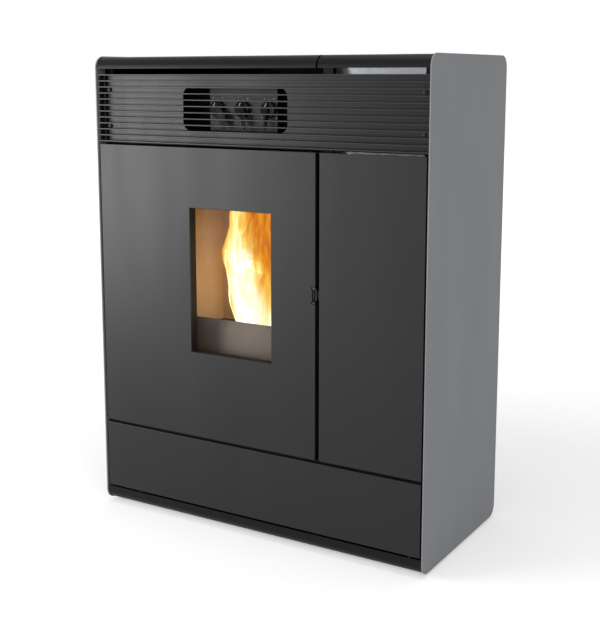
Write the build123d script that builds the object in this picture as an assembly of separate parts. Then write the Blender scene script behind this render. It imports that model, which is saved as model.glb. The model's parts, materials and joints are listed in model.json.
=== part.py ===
from build123d import *
import math
import os

# Slim floor-standing pellet stove: case, fire door, hopper, feed, fans and controls, one STEP file per piece.
# Millimetres. The origin is on the floor under the middle of the case, +X to the right of a person who faces
# the stove, +Y from the front towards the wall and +Z up.

# ---------------------------------------------------------------- case
case_width = 890.0
case_depth = 422.0
case_height = 1130.0
floor_gap = 6.0  # floor to the lower edge of the side panels
side_sheet = 3.0
corner_radius = 28.0
face_inset = 2.0  # covers and front skins behind the outline of the side panels
cover_sheet = 2.0
cover_side_gap = 1.5
edge_round = 0.8
through = 5.0  # how far a cutting body runs past the faces that it opens
screw_hole_gap = 0.2

# ---------------------------------------------------------------- chassis
frame_sheet = 2.0
frame_flange = 24.0
frame_side_gap = 0.1
frame_setback = 31.0  # front faces of the skins to the front of the chassis
rear_recess = 48.0  # back panel in front of the rear edge of the side panels
rail_height = 31.0
rail_depth = 20.0
rail_slot_gap = 0.3
rail_door_gap = 2.0  # cross rails above and below the door

# ---------------------------------------------------------------- front layout
lid_skirt = 2.0
base_skirt = 10.0
air_slot = 13.0  # warm air outlet above the first blade
blade_count = 12
blade_pitch = 14.4
blade_thickness = 3.0
blade_depth = 20.0
grille_gap = 6.5
panel_gap = 7.3
base_gap = 4.5
lower_panel_height = 167.0
skin = 4.0
skin_side_gap = 5.0
side_panel_width = 254.0  # front panel of the pellet side; the door takes the rest of the width
split_gap = 10.0
lid_gap = 5.0

# ---------------------------------------------------------------- grille
end_plate_setback = 8.0
end_plate_depth = 14.0
end_plate_sheet = 2.0
tab_past_screw = 3.0
tab_height = 9.0
tab_sheet = 2.0
tab_hole_gap = 0.3
backing_side_gap = 12.0  # edge of the backing plate to the inner face of the side panel
backing_sheet = 2.0
backing_setback = 23.5  # front faces of the blades to the face of the backing plate
backing_hole_gap = 0.1
backing_land = 5.0  # border of the backing plate beside the console window
cutout_width = 287.0
cutout_height = 100.0
cutout_radius = 20.0
grille_screw_rows = (3, 9)
grille_screw_radius = 4.4
grille_screw_head = 2.5
grille_screw_shank = 2.5
grille_screw_inset = 8.5  # screw axis from the edge of the backing plate
grille_screw_reach = 4.0

# ---------------------------------------------------------------- console
console_rise = 0.7  # middle of the console above the middle of the grille
console_depth = 62.0
console_wall = 2.0
console_face_width = 186.0
console_face_raise = 24.0  # grey face in front of the floor of the black housing
console_face_sheet = 3.0
knob_pitch = 71.0
knob_radius = 19.0
knob_height = 15.0
knob_taper = 2.0
knob_gap = 0.5
knob_bar_width = 8.36
knob_bar_round = 3.762
knob_shaft_radius = 3.0
knob_shaft_gap = 0.05
knob_shaft_end_gap = 1.0
housing_bore_gap = 1.0
board_gap = 6.0
board_sheet = 1.6
board_post_inset = 6.0
board_post_radius = 3.0
dial_body_radius = 9.0
dial_body_length = 10.0

# ---------------------------------------------------------------- fire door
window_left_margin = 268.0
window_right_margin = 116.0
window_top_margin = 140.9
window_bottom_margin = 208.4
door_frame_depth = 20.0
door_frame_sheet = 2.5
door_frame_inset_left = 7.0
door_frame_inset_right = 7.0
door_frame_inset_ends = 28.0
glass_overlap = 14.0
glass_sheet = 4.0
glass_corner = 4.0
glass_gasket_sheet = 1.5
glass_gasket_width = 10.0
clip_sheet = 3.0
clip_length = 36.0
clip_reach = 7.0
clip_foot_gap = 1.0
clip_spread_x = 0.55  # clips above and below the pane, as a share of its half width
clip_spread_z = 0.5
clip_screw_radius = 3.5
clip_screw_head = 1.6
rope_diameter = 12.0
rope_slack = 0.05
rope_seat_gap = 0.3
rope_rib = 2.0
rope_rib_depth = 7.0
rope_margin_x = 69.0  # edge of the window to the middle of the rope
rope_margin_z = 30.0
rope_corner = 30.0
hinge_setback = 12.0  # hinge axis behind the face of the door
hinge_from_edge = 16.0
hinge_pin_radius = 4.0
hinge_pin_gap = 0.05
hinge_pin_seat = 20.0
hinge_arm_half = 7.4
hinge_arm_width = 14.0
hinge_arm_offset = 3.0
hinge_block_height = 12.0
hinge_end_gap = 1.0

# ---------------------------------------------------------------- door latch
latch_drop = 2.7  # middle of the latch below the middle of the window
latch_notch_width = 8.5
latch_notch_height = 38.0
latch_ear = 4.0
latch_gap = 0.6
latch_setback = 1.0  # grip behind the door's face and edge
latch_grip_depth = 8.0
latch_nose_reach = 3.0
latch_nose_front = 2.0
latch_nose_rear = 3.0
latch_thickness = 6.0
latch_arm = 16.0
latch_pin_radius = 2.0
latch_pin_gap = 0.05
latch_cheek = 3.0
catch_thickness = 8.0
catch_depth = 14.0
catch_height = 26.0

# ---------------------------------------------------------------- firebox
firebox_margin_x = 78.0  # edge of the window to the face of the side lining
rear_space = 100.7  # rear of the firebox shell to the rear of the chassis
hearth_above_window = 27.8  # hearth above the lower edge of the window
hearth_sheet = 8.0
lining = 22.0
lining_above_window = 16.8
plenum_height = 79.0  # hearth to the underside of the shell
shell_wall = 4.0
shell_top_drop = 19.1  # top of the shell below the top of the door
baffle_sheet = 18.0
baffle_front_slot = 70.0
mouth_margin_x = 56.0  # edge of the window to the edge of the firebox mouth
mouth_margin_z = 14.0
guard_sheet = 4.0
guard_setback = 18.0  # rear face of the front plate to the ash guard
guard_above_hearth = 45.0
guard_below_hearth = 53.0
tube_count = 7
tube_radius = 18.0
tube_wall = 1.5
tube_seat_gap = 0.2
tube_drop = 34.0
tube_front_reach = 2.0
tube_rear_reach = 8.0

# ---------------------------------------------------------------- burn pot
pot_width = 180.0
pot_depth = 120.0
pot_behind_middle = 11.2  # burn pot behind the middle of the firebox
pot_wall = 5.0
pot_below_hearth = 44.0
pot_above_hearth = 20.0
pot_flange = 10.0
pot_flange_sheet = 4.0
pot_seat_gap = 0.4
pot_hole_radius = 3.0
pot_hole_columns = 9
pot_hole_rows = 5
pot_hole_pitch = 17.0
igniter_radius = 6.0
igniter_length = 130.0
igniter_gap = 0.2
igniter_z_below_hearth = 26.0
igniter_pot_gap = 1.0
igniter_collar = 10.0
igniter_collar_radius = 10.8

# ---------------------------------------------------------------- ash drawer
chute_wall = 2.0
chute_width = 212.0
chute_depth = 160.0
pan_wall = 1.5
pan_width = 252.0
pan_past_chute = 14.0
pan_bottom = 66.0
pan_height = 114.0
chute_gap = 8.0  # rim of the pan to the chute
stiffener_depth = 12.0
stiffener_sheet = 2.0
stiffener_inset_x = 17.0
stiffener_inset_z = 14.0
tray_inset = 2.0  # flange of the side front panel from its edge beside the door
runner_engagement = 90.0  # runner still in its rail with the drawer open
runner_height = 27.0
runner_thickness = 11.0
runner_gap = 0.3
runner_z = 92.0
rail_sheet = 2.0
rail_side_gap = 29.9  # outer face of a rail to the outer face of the chassis
rail_past_runner = 10.0
drawer_travel = 180.0

# ---------------------------------------------------------------- hopper and feed
hopper_wall = 1.5
hopper_left_gap = 12.0
hopper_right_gap = 10.0
hopper_front_gap = 26.0
hopper_rear_gap = 34.0
hopper_rim_drop = 12.0  # underside of the lid to the rim
hopper_straight = 430.0
hopper_rim_flange = 8.0
lid_rear_gap = 18.0  # rear edge of the lid in front of the back panel
lid_seat_gap = 0.3
lid_knuckle = 14.0
lid_knuckle_gap = 0.4
lid_knuckle_radius = 3.0
lid_pin_radius = 1.5
lid_pin_gap = 0.05
lid_rear_clearance = 0.2
lid_strip_gap = 0.3
lid_hinge_share = 0.2  # hinges in from both ends of the lid, as a share of its width
lid_leaf = 9.0
outlet_width = 60.0
outlet_depth = 50.0
grid_bar = 2.5
grid_count_x = 7
grid_count_y = 9
grid_drop = 90.0
grid_seat_gap = 0.3
gasket_width = 8.0
gasket_gap = 0.3
auger_from_panel = 63.0  # feed axis in front of the rear of the chassis
auger_from_side = 151.9  # middle of the tube's inlet from the side of the chassis
auger_angle = 35.0
auger_end_from_pot = 18.34  # upper end of the tube beside the middle of the burn pot
auger_end_above_hearth = 100.43
auger_lead = 50.0  # tube below the middle of its inlet
auger_motor_shaft = 4.0
auger_flight_start = 12.0  # closed end of the tube to the first turn of the flight
auger_flight_end = 64.0  # last turn to the open end of the tube
auger_inlet_wall = 2.0
auger_inlet_height = 77.0
auger_tube_radius = 31.0
auger_tube_wall = 2.5
auger_radius = 26.5
auger_shaft_radius = 8.0
auger_pitch = 42.0
auger_flight = 2.5
auger_shaft_gap = 0.05
auger_end_plate = 6.0
auger_wall_gap = 0.5
motor_side = 74.0
motor_length = 62.0
motor_corner = 6.0
motor_gap = 0.3
drop_width = 58.0
drop_height = 58.0
drop_wall = 1.5
drop_below_axis = 12.0
drop_seat_gap = 0.3
drop_lining_gap = 0.5
drop_headroom = 22.0

# ---------------------------------------------------------------- flue gas side
fan_from_shell = 31.0  # middle of the fan to the inner side of the firebox shell
fan_from_panel = 93.0
fan_z = 230.0
fan_width = 60.0
fan_wall = 2.5
fan_radius = 82.0
fan_outlet = 62.0
impeller_radius = 64.0
impeller_width = 38.0
impeller_disc = 2.0
impeller_hub = 10.0
impeller_blades = 10
impeller_bend = 1.2  # radius of the blades' curve to their span
impeller_rim_gap = 0.2
fan_shaft_radius = 4.0
fan_shaft_gap = 0.05
fan_shaft_reach = 16.0
fan_shaft_end_gap = 1.0
fan_inlet_radius = 38.0
fan_motor_radius = 42.0
fan_motor_length = 68.0
fan_motor_round = 6.0
duct_width = 36.0
duct_depth = 84.0
duct_wall = 2.0
flue_radius = 40.0
flue_wall = 2.0
post_side = 20.0
post_wall = 2.0
post_front = 18.0
post_rear = 25.0
flange_side = 104.0
flange_sheet = 3.0
air_inlet_from_pot = 84.0
air_inlet_radius = 25.0
air_inlet_step = 1.0  # shoulder that seats on the back panel
air_inlet_wall = 1.5
air_inlet_gap = 0.2

# ---------------------------------------------------------------- room air blower
blower_length = 240.0
blower_from_bulkhead = 194.5  # middle of the drum to the centre bulkhead
blower_from_panel = 45.0
blower_radius = 30.0
blower_housing = 40.0
blower_wall = 1.5
blower_end_gap = 4.0
blower_disc = 2.0
blower_blades = 18
blower_blade_sheet = 1.2
blower_blade_inset = 5.0
blower_blade_depth = 8.0
blower_blade_angle = 24.0
blower_shaft_radius = 3.0
blower_shaft_gap = 0.05
blower_shaft_reach = 12.0
blower_shaft_end_gap = 2.0
blower_motor_radius = 28.0
blower_motor_length = 50.0
blower_motor_foot = 16.0

# ---------------------------------------------------------------- rear panel and power
vent_rows = 8
vent_columns = 5
vent_length = 70.0
vent_height = 6.0
vent_pitch_z = 18.0
vent_pitch_x = 96.0
vent_drop = 315.0  # lowest row below the top of the chassis
round_margin = 0.01  # keeps a full round just under half the height of its slot
rear_screw_radius = 4.0
rear_screw_head = 2.0
rear_screw_shank = 2.0
rear_screw_length = 8.0
rear_screw_rows = 5
rear_screw_first = 30.0  # lowest screw above the foot of the chassis
rear_screw_last = 40.0  # highest screw below the top of the chassis
panel_hole_gap = 0.5
power_from_side = 111.9
power_z = 120.0
socket_width = 27.0
socket_height = 48.0
socket_depth = 24.0
socket_corner = 3.0
socket_wall = 2.0
socket_floor = 3.0
socket_lug = 4.0
socket_rim = 3.0
socket_rim_sheet = 2.0
inlet_seat_gap = 0.2
contact_pitch = 7.0
contact_offset = 5.0
contact_sheet = 2.0
contact_height = 5.0
contact_setback = 4.0
rocker_width = 14.0
rocker_height = 20.0
rocker_depth = 16.0
rocker_corner = 1.0
rocker_rim = 2.0
rocker_rim_sheet = 1.5
rocker_gap = 0.5
rocker_end_gap = 1.1
rocker_proud = 1.0
rocker_dish = 1.6
rocker_dish_radius = 30.0
rocker_z = 178.0
rocker_axis_depth = 5.0
rocker_pin = 1.5
rocker_pin_gap = 0.05
rocker_pin_reach = 1.2
rocker_pin_end_gap = 0.2
control_width = 170.0
control_height = 120.0
control_standoff = 12.0
control_from_frame = 58.0
control_z = 140.0
transformer = (24.0, 18.0, 40.0, 20.0, 36.0)  # height, then place and length along Y, then along Z
relay_block = (12.0, 74.0, 22.0, 18.0, 52.0)
terminal_block = (9.0, 20.0, 130.0, 4.0, 10.0)
capacitor_count = 4
capacitor_radius = 5.0
capacitor_height = 16.0
capacitor_y = 112.0
capacitor_drop = 26.0
capacitor_pitch = 14.0

# ---------------------------------------------------------------- feet
foot_inset_x = 60.0
foot_inset_y = 60.0
foot_radius = 20.0
stud_radius = 5.0
stud_length = 30.0
stud_gap = 0.4
nut_radius = 9.0
nut_height = 8.0

# ================================================================ derived places
x_out = case_width / 2
x_in = x_out - side_sheet
y_front = -case_depth / 2
y_back = case_depth / 2
face_y = y_front + face_inset
tail_y = y_back - face_inset
cover_top = case_height - face_inset
cover_bottom = floor_gap + face_inset
cover_x = x_in - cover_side_gap
lid_edge = case_height - corner_radius - lid_skirt
base_edge = floor_gap + corner_radius + base_skirt

first_blade_top = lid_edge - air_slot
last_blade_bottom = first_blade_top - blade_thickness - (blade_count - 1) * blade_pitch
door_top = last_blade_bottom - grille_gap
lower_panel_bottom = base_edge + base_gap
lower_panel_top = lower_panel_bottom + lower_panel_height
door_bottom = lower_panel_top + panel_gap

skin_x = x_in - skin_side_gap
skin_back = face_y + skin
side_panel_left = skin_x - side_panel_width
door_left = -skin_x
door_right = side_panel_left - split_gap
lid_left = door_right + lid_gap

window_left = door_left + window_left_margin
window_right = door_right - window_right_margin
window_width = window_right - window_left
window_x = (window_left + window_right) / 2
window_bottom = door_bottom + window_bottom_margin
window_top = door_top - window_top_margin
window_height = window_top - window_bottom
window_z = (window_bottom + window_top) / 2
latch_z = window_z - latch_drop

backing_x = x_in - backing_side_gap
grille_screw_x = backing_x - grille_screw_inset
console_x = window_x
console_z = (first_blade_top + last_blade_bottom) / 2 + console_rise

frame_y = face_y + frame_setback
frame_back = y_back - rear_recess
frame_x = x_in - frame_side_gap
frame_bottom = cover_bottom + cover_sheet
frame_top = cover_top - cover_sheet
centre_x = door_right + (lid_gap - frame_sheet) / 2 + frame_sheet / 2
centre_left = centre_x - frame_sheet / 2
centre_right = centre_x + frame_sheet / 2

door_frame_back = skin_back + door_frame_depth
rope_y = door_frame_back + rope_diameter / 2
front_plate_y = door_frame_back + rope_diameter + rope_seat_gap
front_plate_back = front_plate_y + shell_wall
hinge_x = door_left + hinge_from_edge
hinge_y = face_y + hinge_setback
door_frame_left = door_left + door_frame_inset_left
door_frame_right = door_right - door_frame_inset_right
door_frame_bottom = door_bottom + door_frame_inset_ends
door_frame_top = door_top - door_frame_inset_ends

fire_left = window_left - firebox_margin_x
fire_right = window_right + firebox_margin_x
shell_left = fire_left - lining
shell_right = fire_right + lining
shell_rear = frame_back - rear_space
shell_back = shell_rear - shell_wall
fire_back = shell_back - lining
hearth_z = window_bottom + hearth_above_window
hearth_bottom = hearth_z - hearth_sheet
shell_bottom = hearth_z - plenum_height
shell_top = door_top - shell_top_drop
lining_top = window_top + lining_above_window
guard_y = front_plate_back + guard_setback
tube_z = shell_top - tube_drop
pot_x = window_x
pot_y = (front_plate_back + fire_back) / 2 + pot_behind_middle

chute_bottom = pan_bottom + pan_height + chute_gap
hopper_left = centre_right + hopper_left_gap
hopper_right = frame_x - frame_sheet - hopper_right_gap
hopper_front = frame_y + frame_sheet + hopper_front_gap
hopper_back = frame_back - hopper_rear_gap
hopper_rim = frame_top - hopper_rim_drop
hopper_knee = hopper_rim - hopper_straight
lid_rear = frame_back - lid_rear_gap
lid_axis_y = lid_rear + lid_knuckle_radius + lid_rear_clearance
lid_axis_z = cover_top - lid_knuckle_radius
strip_front = lid_axis_y + lid_knuckle_radius + lid_strip_gap
rail_top_z = door_top + rail_door_gap
rail_low_z = door_bottom - rail_door_gap - rail_height
rail_x = frame_x - rail_side_gap
pan_rear = pot_y + chute_depth / 2 + pan_past_chute
runner_length = drawer_travel + runner_engagement

auger_y = frame_back - auger_from_panel
auger_low_x = frame_x - auger_from_side
auger_run = auger_low_x - pot_x - auger_end_from_pot
auger_length = auger_run / math.cos(math.radians(auger_angle))
auger_end_z = hearth_z + auger_end_above_hearth
auger_low_z = auger_end_z - auger_run * math.tan(math.radians(auger_angle))
igniter_z = hearth_z - igniter_z_below_hearth
fan_x = shell_left - fan_from_shell
fan_y = frame_back - fan_from_panel
flue_z = fan_z - fan_radius + fan_outlet / 2
air_inlet_x = pot_x - air_inlet_from_pot
air_pipe_radius = air_inlet_radius - air_inlet_step
blower_x = centre_left - blower_from_bulkhead
blower_y = frame_back - blower_from_panel
blower_z = frame_bottom + blower_housing
panel_rear = frame_back + frame_sheet
vent_z = frame_top - vent_drop
power_x = frame_x - power_from_side
control_y = frame_y + control_from_frame


# ================================================================ helpers
def block(x0, x1, y0, y1, z0, z1):
    """A rectangular solid between two corners."""
    size = (x1 - x0, y1 - y0, z1 - z0)
    return Pos((x0 + x1) / 2, (y0 + y1) / 2, (z0 + z1) / 2) * Box(*size)


def rod_x(x0, x1, y, z, radius):
    """A round bar along X."""
    return Pos((x0 + x1) / 2, y, z) * Rot(0, 90, 0) * Cylinder(radius, x1 - x0)


def rod_y(x, y0, y1, z, radius):
    """A round bar along Y."""
    return Pos(x, (y0 + y1) / 2, z) * Rot(90, 0, 0) * Cylinder(radius, y1 - y0)


def rod_z(x, y, z0, z1, radius):
    """A round bar along Z."""
    return Pos(x, y, (z0 + z1) / 2) * Cylinder(radius, z1 - z0)


def plate_xz(width, height, radius, x, z, y0, y1):
    """A plate with rounded corners that faces the front."""
    outline = RectangleRounded(width, height, radius)
    return Pos(x, y1, z) * Rot(90, 0, 0) * extrude(outline, y1 - y0)


def ring_xz(width, height, radius, border, x, z, y0, y1):
    """A flat rounded frame that faces the front, border wide."""
    outer = plate_xz(width, height, radius, x, z, y0, y1)
    inner = plate_xz(
        width - 2 * border, height - 2 * border, radius - border, x, z, y0 - 1, y1 + 1
    )
    return outer - inner


def soften_front(part, radius):
    """Round the edges of the foremost face."""
    return fillet(part.faces().sort_by(Axis.Y)[0].edges(), radius)


def save(name, *pieces):
    """Write one sub-part, a single solid or a group of separate ones."""
    solids = [s for piece in pieces for s in piece.solids()]
    shape = solids[0] if len(solids) == 1 else Compound(solids)
    export_step(shape, f"parts/{name}.step")


# ================================================================ case
def side_panel(side):
    """Painted side sheet with four rounded corners; side is -1 for left and 1 for right."""
    height = case_height - floor_gap
    outline = RectangleRounded(height, case_depth, corner_radius)
    sheet = Rot(0, 90, 0) * extrude(outline, side_sheet)
    panel = Pos(x_in, 0, floor_gap + height / 2) * sheet
    outer_edges = panel.faces().sort_by(Axis.X)[-1].edges()
    panel = fillet(outer_edges, edge_round)
    return panel if side > 0 else mirror(panel, Plane.YZ)


def wrap(x0, x1):
    """The bent sheet that follows the outline of the side panels, all round, from x0 to x1."""
    height = cover_top - cover_bottom
    depth = tail_y - face_y
    radius = corner_radius - face_inset
    outer = RectangleRounded(height, depth, radius)
    inner = RectangleRounded(
        height - 2 * cover_sheet, depth - 2 * cover_sheet, radius - cover_sheet
    )
    tube = Rot(0, 90, 0) * extrude(outer - inner, x1 - x0)
    return Pos(x0, 0, (cover_top + cover_bottom) / 2) * tube


def top_cover():
    """Fixed left part of the top, with its rounded front and rear edges."""
    cover = wrap(-cover_x, door_right)
    return cover & block(-x_out, x_out, y_front, y_back, lid_edge, case_height)


def lid_wrap():
    return wrap(lid_left, cover_x) & block(-x_out, x_out, y_front, y_back, lid_edge, case_height)


def hinge_stations():
    """X ranges of the lid's hinge knuckles: (lid knuckle, strip knuckle) for both hinges."""
    knuckle, gap = lid_knuckle, lid_knuckle_gap
    inset = (cover_x - lid_left) * lid_hinge_share
    for centre in (lid_left + inset, cover_x - inset):
        yield (
            (centre - knuckle - gap / 2, centre - gap / 2),
            (centre + gap / 2, centre + knuckle + gap / 2),
        )


def hopper_lid():
    """Lid over the pellet hopper with two hinge knuckles along its rear edge."""
    lid = lid_wrap() & block(-x_out, x_out, y_front, lid_rear, lid_edge, case_height)
    leaf_z = frame_top
    for (x0, x1), _ in hinge_stations():
        lid += block(x0, x1, lid_rear - lid_leaf, lid_axis_y, leaf_z - cover_sheet, leaf_z)
        lid += rod_x(x0, x1, lid_axis_y, lid_axis_z, lid_knuckle_radius)
        lid -= rod_x(x0 - 1, x1 + 1, lid_axis_y, lid_axis_z, lid_pin_radius + lid_pin_gap)
    return lid


def lid_rear_strip():
    """Fixed strip behind the lid that carries the other knuckles."""
    strip = lid_wrap() & block(-x_out, x_out, strip_front, y_back, lid_edge, case_height)
    leaf_z = frame_top
    for _, (x0, x1) in hinge_stations():
        strip += block(x0, x1, lid_axis_y, strip_front + lid_leaf, leaf_z - cover_sheet, leaf_z)
        strip += rod_x(x0, x1, lid_axis_y, lid_axis_z, lid_knuckle_radius)
        strip -= rod_x(x0 - 1, x1 + 1, lid_axis_y, lid_axis_z, lid_pin_radius)
    return strip


def lid_hinge_pins():
    """Pins held in the strip's knuckles, on which the lid turns."""
    return [
        rod_x(x0, x1, lid_axis_y, lid_axis_z, lid_pin_radius)
        for (x0, _), (_, x1) in hinge_stations()
    ]


def base_tray():
    """Folded floor of the case with rounded front and rear lips and holes for the feet."""
    tray = wrap(-cover_x, cover_x) & block(-x_out, x_out, y_front, y_back, 0, base_edge)
    for x, y in foot_places():
        tray -= rod_z(x, y, 0, base_edge, stud_radius + stud_gap)
    return tray


def foot_places():
    return [
        (sx * (x_out - foot_inset_x), sy * (y_back - foot_inset_y))
        for sx in (-1, 1)
        for sy in (-1, 1)
    ]


def levelling_foot(x, y):
    """Foot disc with its stud."""
    disc = rod_z(x, y, 0, cover_bottom, foot_radius)
    disc = chamfer(disc.edges().group_by(Axis.Z)[-1], cover_bottom / 3)
    return disc + rod_z(x, y, cover_bottom, cover_bottom + stud_length, stud_radius)


def foot_nut(x, y):
    """Hexagon nut on the stud, seated on the base tray."""
    nut = extrude(RegularPolygon(nut_radius, 6), nut_height)
    nut -= Pos(0, 0, nut_height / 2) * Cylinder(stud_radius, nut_height + 1)
    return Pos(x, y, frame_bottom) * nut


# ================================================================ chassis
def outer_bulkhead(side):
    """Folded wall beside a side panel, with front and rear flanges, and a top one under the cover."""
    x0, x1 = frame_x - frame_sheet, frame_x
    xf = frame_x - frame_flange
    top = frame_top if side < 0 else frame_top - lid_seat_gap
    wall = block(x0, x1, frame_y, frame_back, frame_bottom, top)
    wall += block(xf, x1, frame_y, frame_y + frame_sheet, frame_bottom, top)
    wall += block(xf, x1, frame_back - frame_sheet, frame_back, frame_bottom, top)
    for x, z in rear_screw_places():
        wall -= rod_y(x, frame_back - frame_flange, frame_back + 1, z, rear_screw_shank)
    if side > 0:
        return wall
    wall += block(xf, x1, frame_y, frame_back, top - frame_sheet, top)
    return mirror(wall, Plane.YZ)


def centre_bulkhead():
    """Wall between the fire side and the pellet side, with holes for the feed tube."""
    x0, x1 = centre_left, centre_right
    wall = block(x0, x1, frame_y, frame_back, frame_bottom, frame_top)
    wall += block(x0, x0 + frame_flange, frame_y, frame_y + frame_sheet, frame_bottom, frame_top)
    rear_y = frame_back - frame_sheet
    wall += block(x0 - frame_flange, x1, rear_y, frame_back, frame_bottom, frame_top)
    top_z = frame_top - frame_sheet
    wall += block(x0 - frame_flange, x1, frame_y, frame_back, top_z, frame_top)
    rail_y0 = frame_y + frame_sheet
    wall -= block(
        x0 - 1,
        x1 + 1,
        rail_y0 - rail_slot_gap,
        rail_y0 + rail_depth + rail_slot_gap,
        rail_top_z - rail_slot_gap,
        rail_top_z + rail_height + rail_slot_gap,
    )
    return wall - auger_rod(0, auger_length, auger_tube_radius + auger_wall_gap)


def cross_rail(z0, y0):
    """Front rail that ties the bulkheads, a channel open to the rear."""
    x1 = frame_x - frame_sheet
    y1, z1 = y0 + rail_depth, z0 + rail_height
    t = frame_sheet
    rail = block(-x1, x1, y0, y1, z0, z1)
    return rail - block(-x1 - 1, x1 + 1, y0 + t, y1 + 1, z0 + t, z1 - t)


# ================================================================ grille and console
def blade_top(row):
    return first_blade_top - row * blade_pitch


def grille_blades():
    """Horizontal blades with rounded front edges, let into the end plates."""
    blades = []
    for row in range(blade_count):
        top = blade_top(row)
        blade = block(-cover_x, cover_x, face_y, face_y + blade_depth, top - blade_thickness, top)
        front_edges = blade.faces().sort_by(Axis.Y)[0].edges().filter_by(Axis.X)
        blades.append(fillet(front_edges, edge_round))
    return blades


def grille_end_plate(side):
    """Plate slotted for the blades, with screw tabs against the backing plate."""
    y0 = face_y + end_plate_setback
    plate_face = face_y + backing_setback
    x0, x1 = sorted((side * cover_x, side * (cover_x - end_plate_sheet)))
    plate = block(x0, x1, y0, y0 + end_plate_depth, last_blade_bottom, first_blade_top)
    for row in range(blade_count):
        top = blade_top(row)
        plate -= block(x0 - 1, x1 + 1, y0 - 1, face_y + blade_depth, top - blade_thickness, top)
    tab_y = plate_face - tab_sheet
    for x, z in grille_screw_places(side):
        xt = sorted((side * cover_x, x - side * tab_past_screw))
        tab = block(*xt, tab_y, plate_face, z - tab_height / 2, z + tab_height / 2)
        hole_radius = grille_screw_shank + tab_hole_gap
        plate += tab - rod_y(x, tab_y - through, plate_face + through, z, hole_radius)
    return plate


def grille_screw_places(*sides):
    for side in sides or (-1, 1):
        for row in grille_screw_rows:
            tab_z = blade_top(row - 1) - blade_thickness - (blade_pitch - blade_thickness) / 2
            yield side * grille_screw_x, tab_z


def grille_screws():
    """Dark pan-head screws that hold the grille to its backing plate."""
    tab_face = face_y + backing_setback - tab_sheet
    heads = []
    for x, z in grille_screw_places():
        head = rod_y(x, tab_face - grille_screw_head, tab_face, z, grille_screw_radius)
        tip_y = tab_face + tab_sheet + backing_sheet + grille_screw_reach
        shank = rod_y(x, tab_face, tip_y, z, grille_screw_shank)
        heads.append(head + shank)
    return heads


def grille_backing_plate():
    """Plate behind the blades: side sheets, and strips and rounded corners round the console window."""
    y0 = face_y + backing_setback
    y1 = y0 + backing_sheet
    z0, z1 = last_blade_bottom, first_blade_top
    half_x, half_z = cutout_width / 2, cutout_height / 2
    flat_x, flat_z = half_x - cutout_radius, half_z - cutout_radius
    land_x = half_x + backing_land
    window = plate_xz(2 * half_x, 2 * half_z, cutout_radius, console_x, console_z, y0 - through, y1 + through)
    sheets = []
    for side in (-1, 1):
        xs = sorted((side * backing_x, console_x + side * land_x))
        sheet = block(*xs, y0, y1, z0, z1)
        xs = sorted((side * backing_x, side * (backing_x - backing_sheet)))
        sheet += block(*xs, y0, frame_y, z0, z1)
        for x, z in grille_screw_places(side):
            sheet -= rod_y(x, y0 - through, y1 + through, z, grille_screw_shank + backing_hole_gap)
        sheets.append(sheet)
        xs = sorted((console_x + side * half_x, console_x + side * land_x))
        sheets.append(block(*xs, y0, y1, console_z - flat_z, console_z + flat_z))
        xs = sorted((console_x + side * flat_x, console_x + side * land_x))
        sheets.append(block(*xs, y0, y1, console_z + flat_z, z1) - window)
        sheets.append(block(*xs, y0, y1, z0, console_z - flat_z) - window)
    sheets.append(block(console_x - flat_x, console_x + flat_x, y0, y1, console_z + half_z, z1))
    sheets.append(block(console_x - flat_x, console_x + flat_x, y0, y1, z0, console_z - half_z))
    return sheets


def console_rim(y0, y1):
    """Rim of the recess: four straight walls joined by four quarter-round corners."""
    w = console_wall
    half_x, half_z = cutout_width / 2, cutout_height / 2
    flat_x, flat_z = half_x - cutout_radius, half_z - cutout_radius
    walls = []
    for side in (-1, 1):
        z = sorted((console_z + side * half_z, console_z + side * (half_z + w)))
        walls.append(block(console_x - flat_x, console_x + flat_x, y0, y1, *z))
        x = sorted((console_x + side * half_x, console_x + side * (half_x + w)))
        walls.append(block(*x, y0, y1, console_z - flat_z, console_z + flat_z))
    outer = plate_xz(2 * half_x + 2 * w, 2 * half_z + 2 * w, cutout_radius + w, console_x, console_z, y0, y1)
    inner = plate_xz(2 * half_x, 2 * half_z, cutout_radius, console_x, console_z, y0 - 1, y1 + 1)
    ring = outer - inner
    for side_x in (-1, 1):
        for side_z in (-1, 1):
            x = sorted((console_x + side_x * flat_x, console_x + side_x * (half_x + w)))
            z = sorted((console_z + side_z * flat_z, console_z + side_z * (half_z + w)))
            walls.append(ring & block(*x, y0, y1, *z))
    return walls


def console_housing():
    """Black recess behind the backing plate, open to the front: rim, floor and boss."""
    y0 = face_y + backing_setback + backing_sheet
    y1 = face_y + console_depth + console_face_raise
    floor_y = y1 - console_wall
    rim = 2 * console_wall
    floor = plate_xz(
        cutout_width + rim, cutout_height + rim, cutout_radius + console_wall, console_x, console_z, floor_y, y1
    )
    boss_y = face_y + console_depth + console_face_sheet
    boss = block(
        console_x - console_face_width / 2,
        console_x + console_face_width / 2,
        boss_y,
        floor_y,
        console_z - cutout_height / 2,
        console_z + cutout_height / 2,
    )
    for x in knob_places():
        bore = rod_y(x, boss_y - 1, y1 + 1, console_z, knob_shaft_radius + housing_bore_gap)
        floor -= bore
        boss -= bore
    return [*console_rim(y0, floor_y), floor, boss]


def knob_places():
    return [console_x + (i - 1) * knob_pitch for i in range(3)]


def console_face():
    """Dark grey face plate in the middle of the recess, which the knob shafts pass through."""
    y0 = face_y + console_depth
    plate = block(
        console_x - console_face_width / 2,
        console_x + console_face_width / 2,
        y0,
        y0 + console_face_sheet,
        console_z - cutout_height / 2,
        console_z + cutout_height / 2,
    )
    for x in knob_places():
        y1 = y0 + console_face_sheet + through
        plate -= rod_y(x, y0 - through, y1, console_z, knob_shaft_radius + knob_shaft_gap)
    return plate


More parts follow.
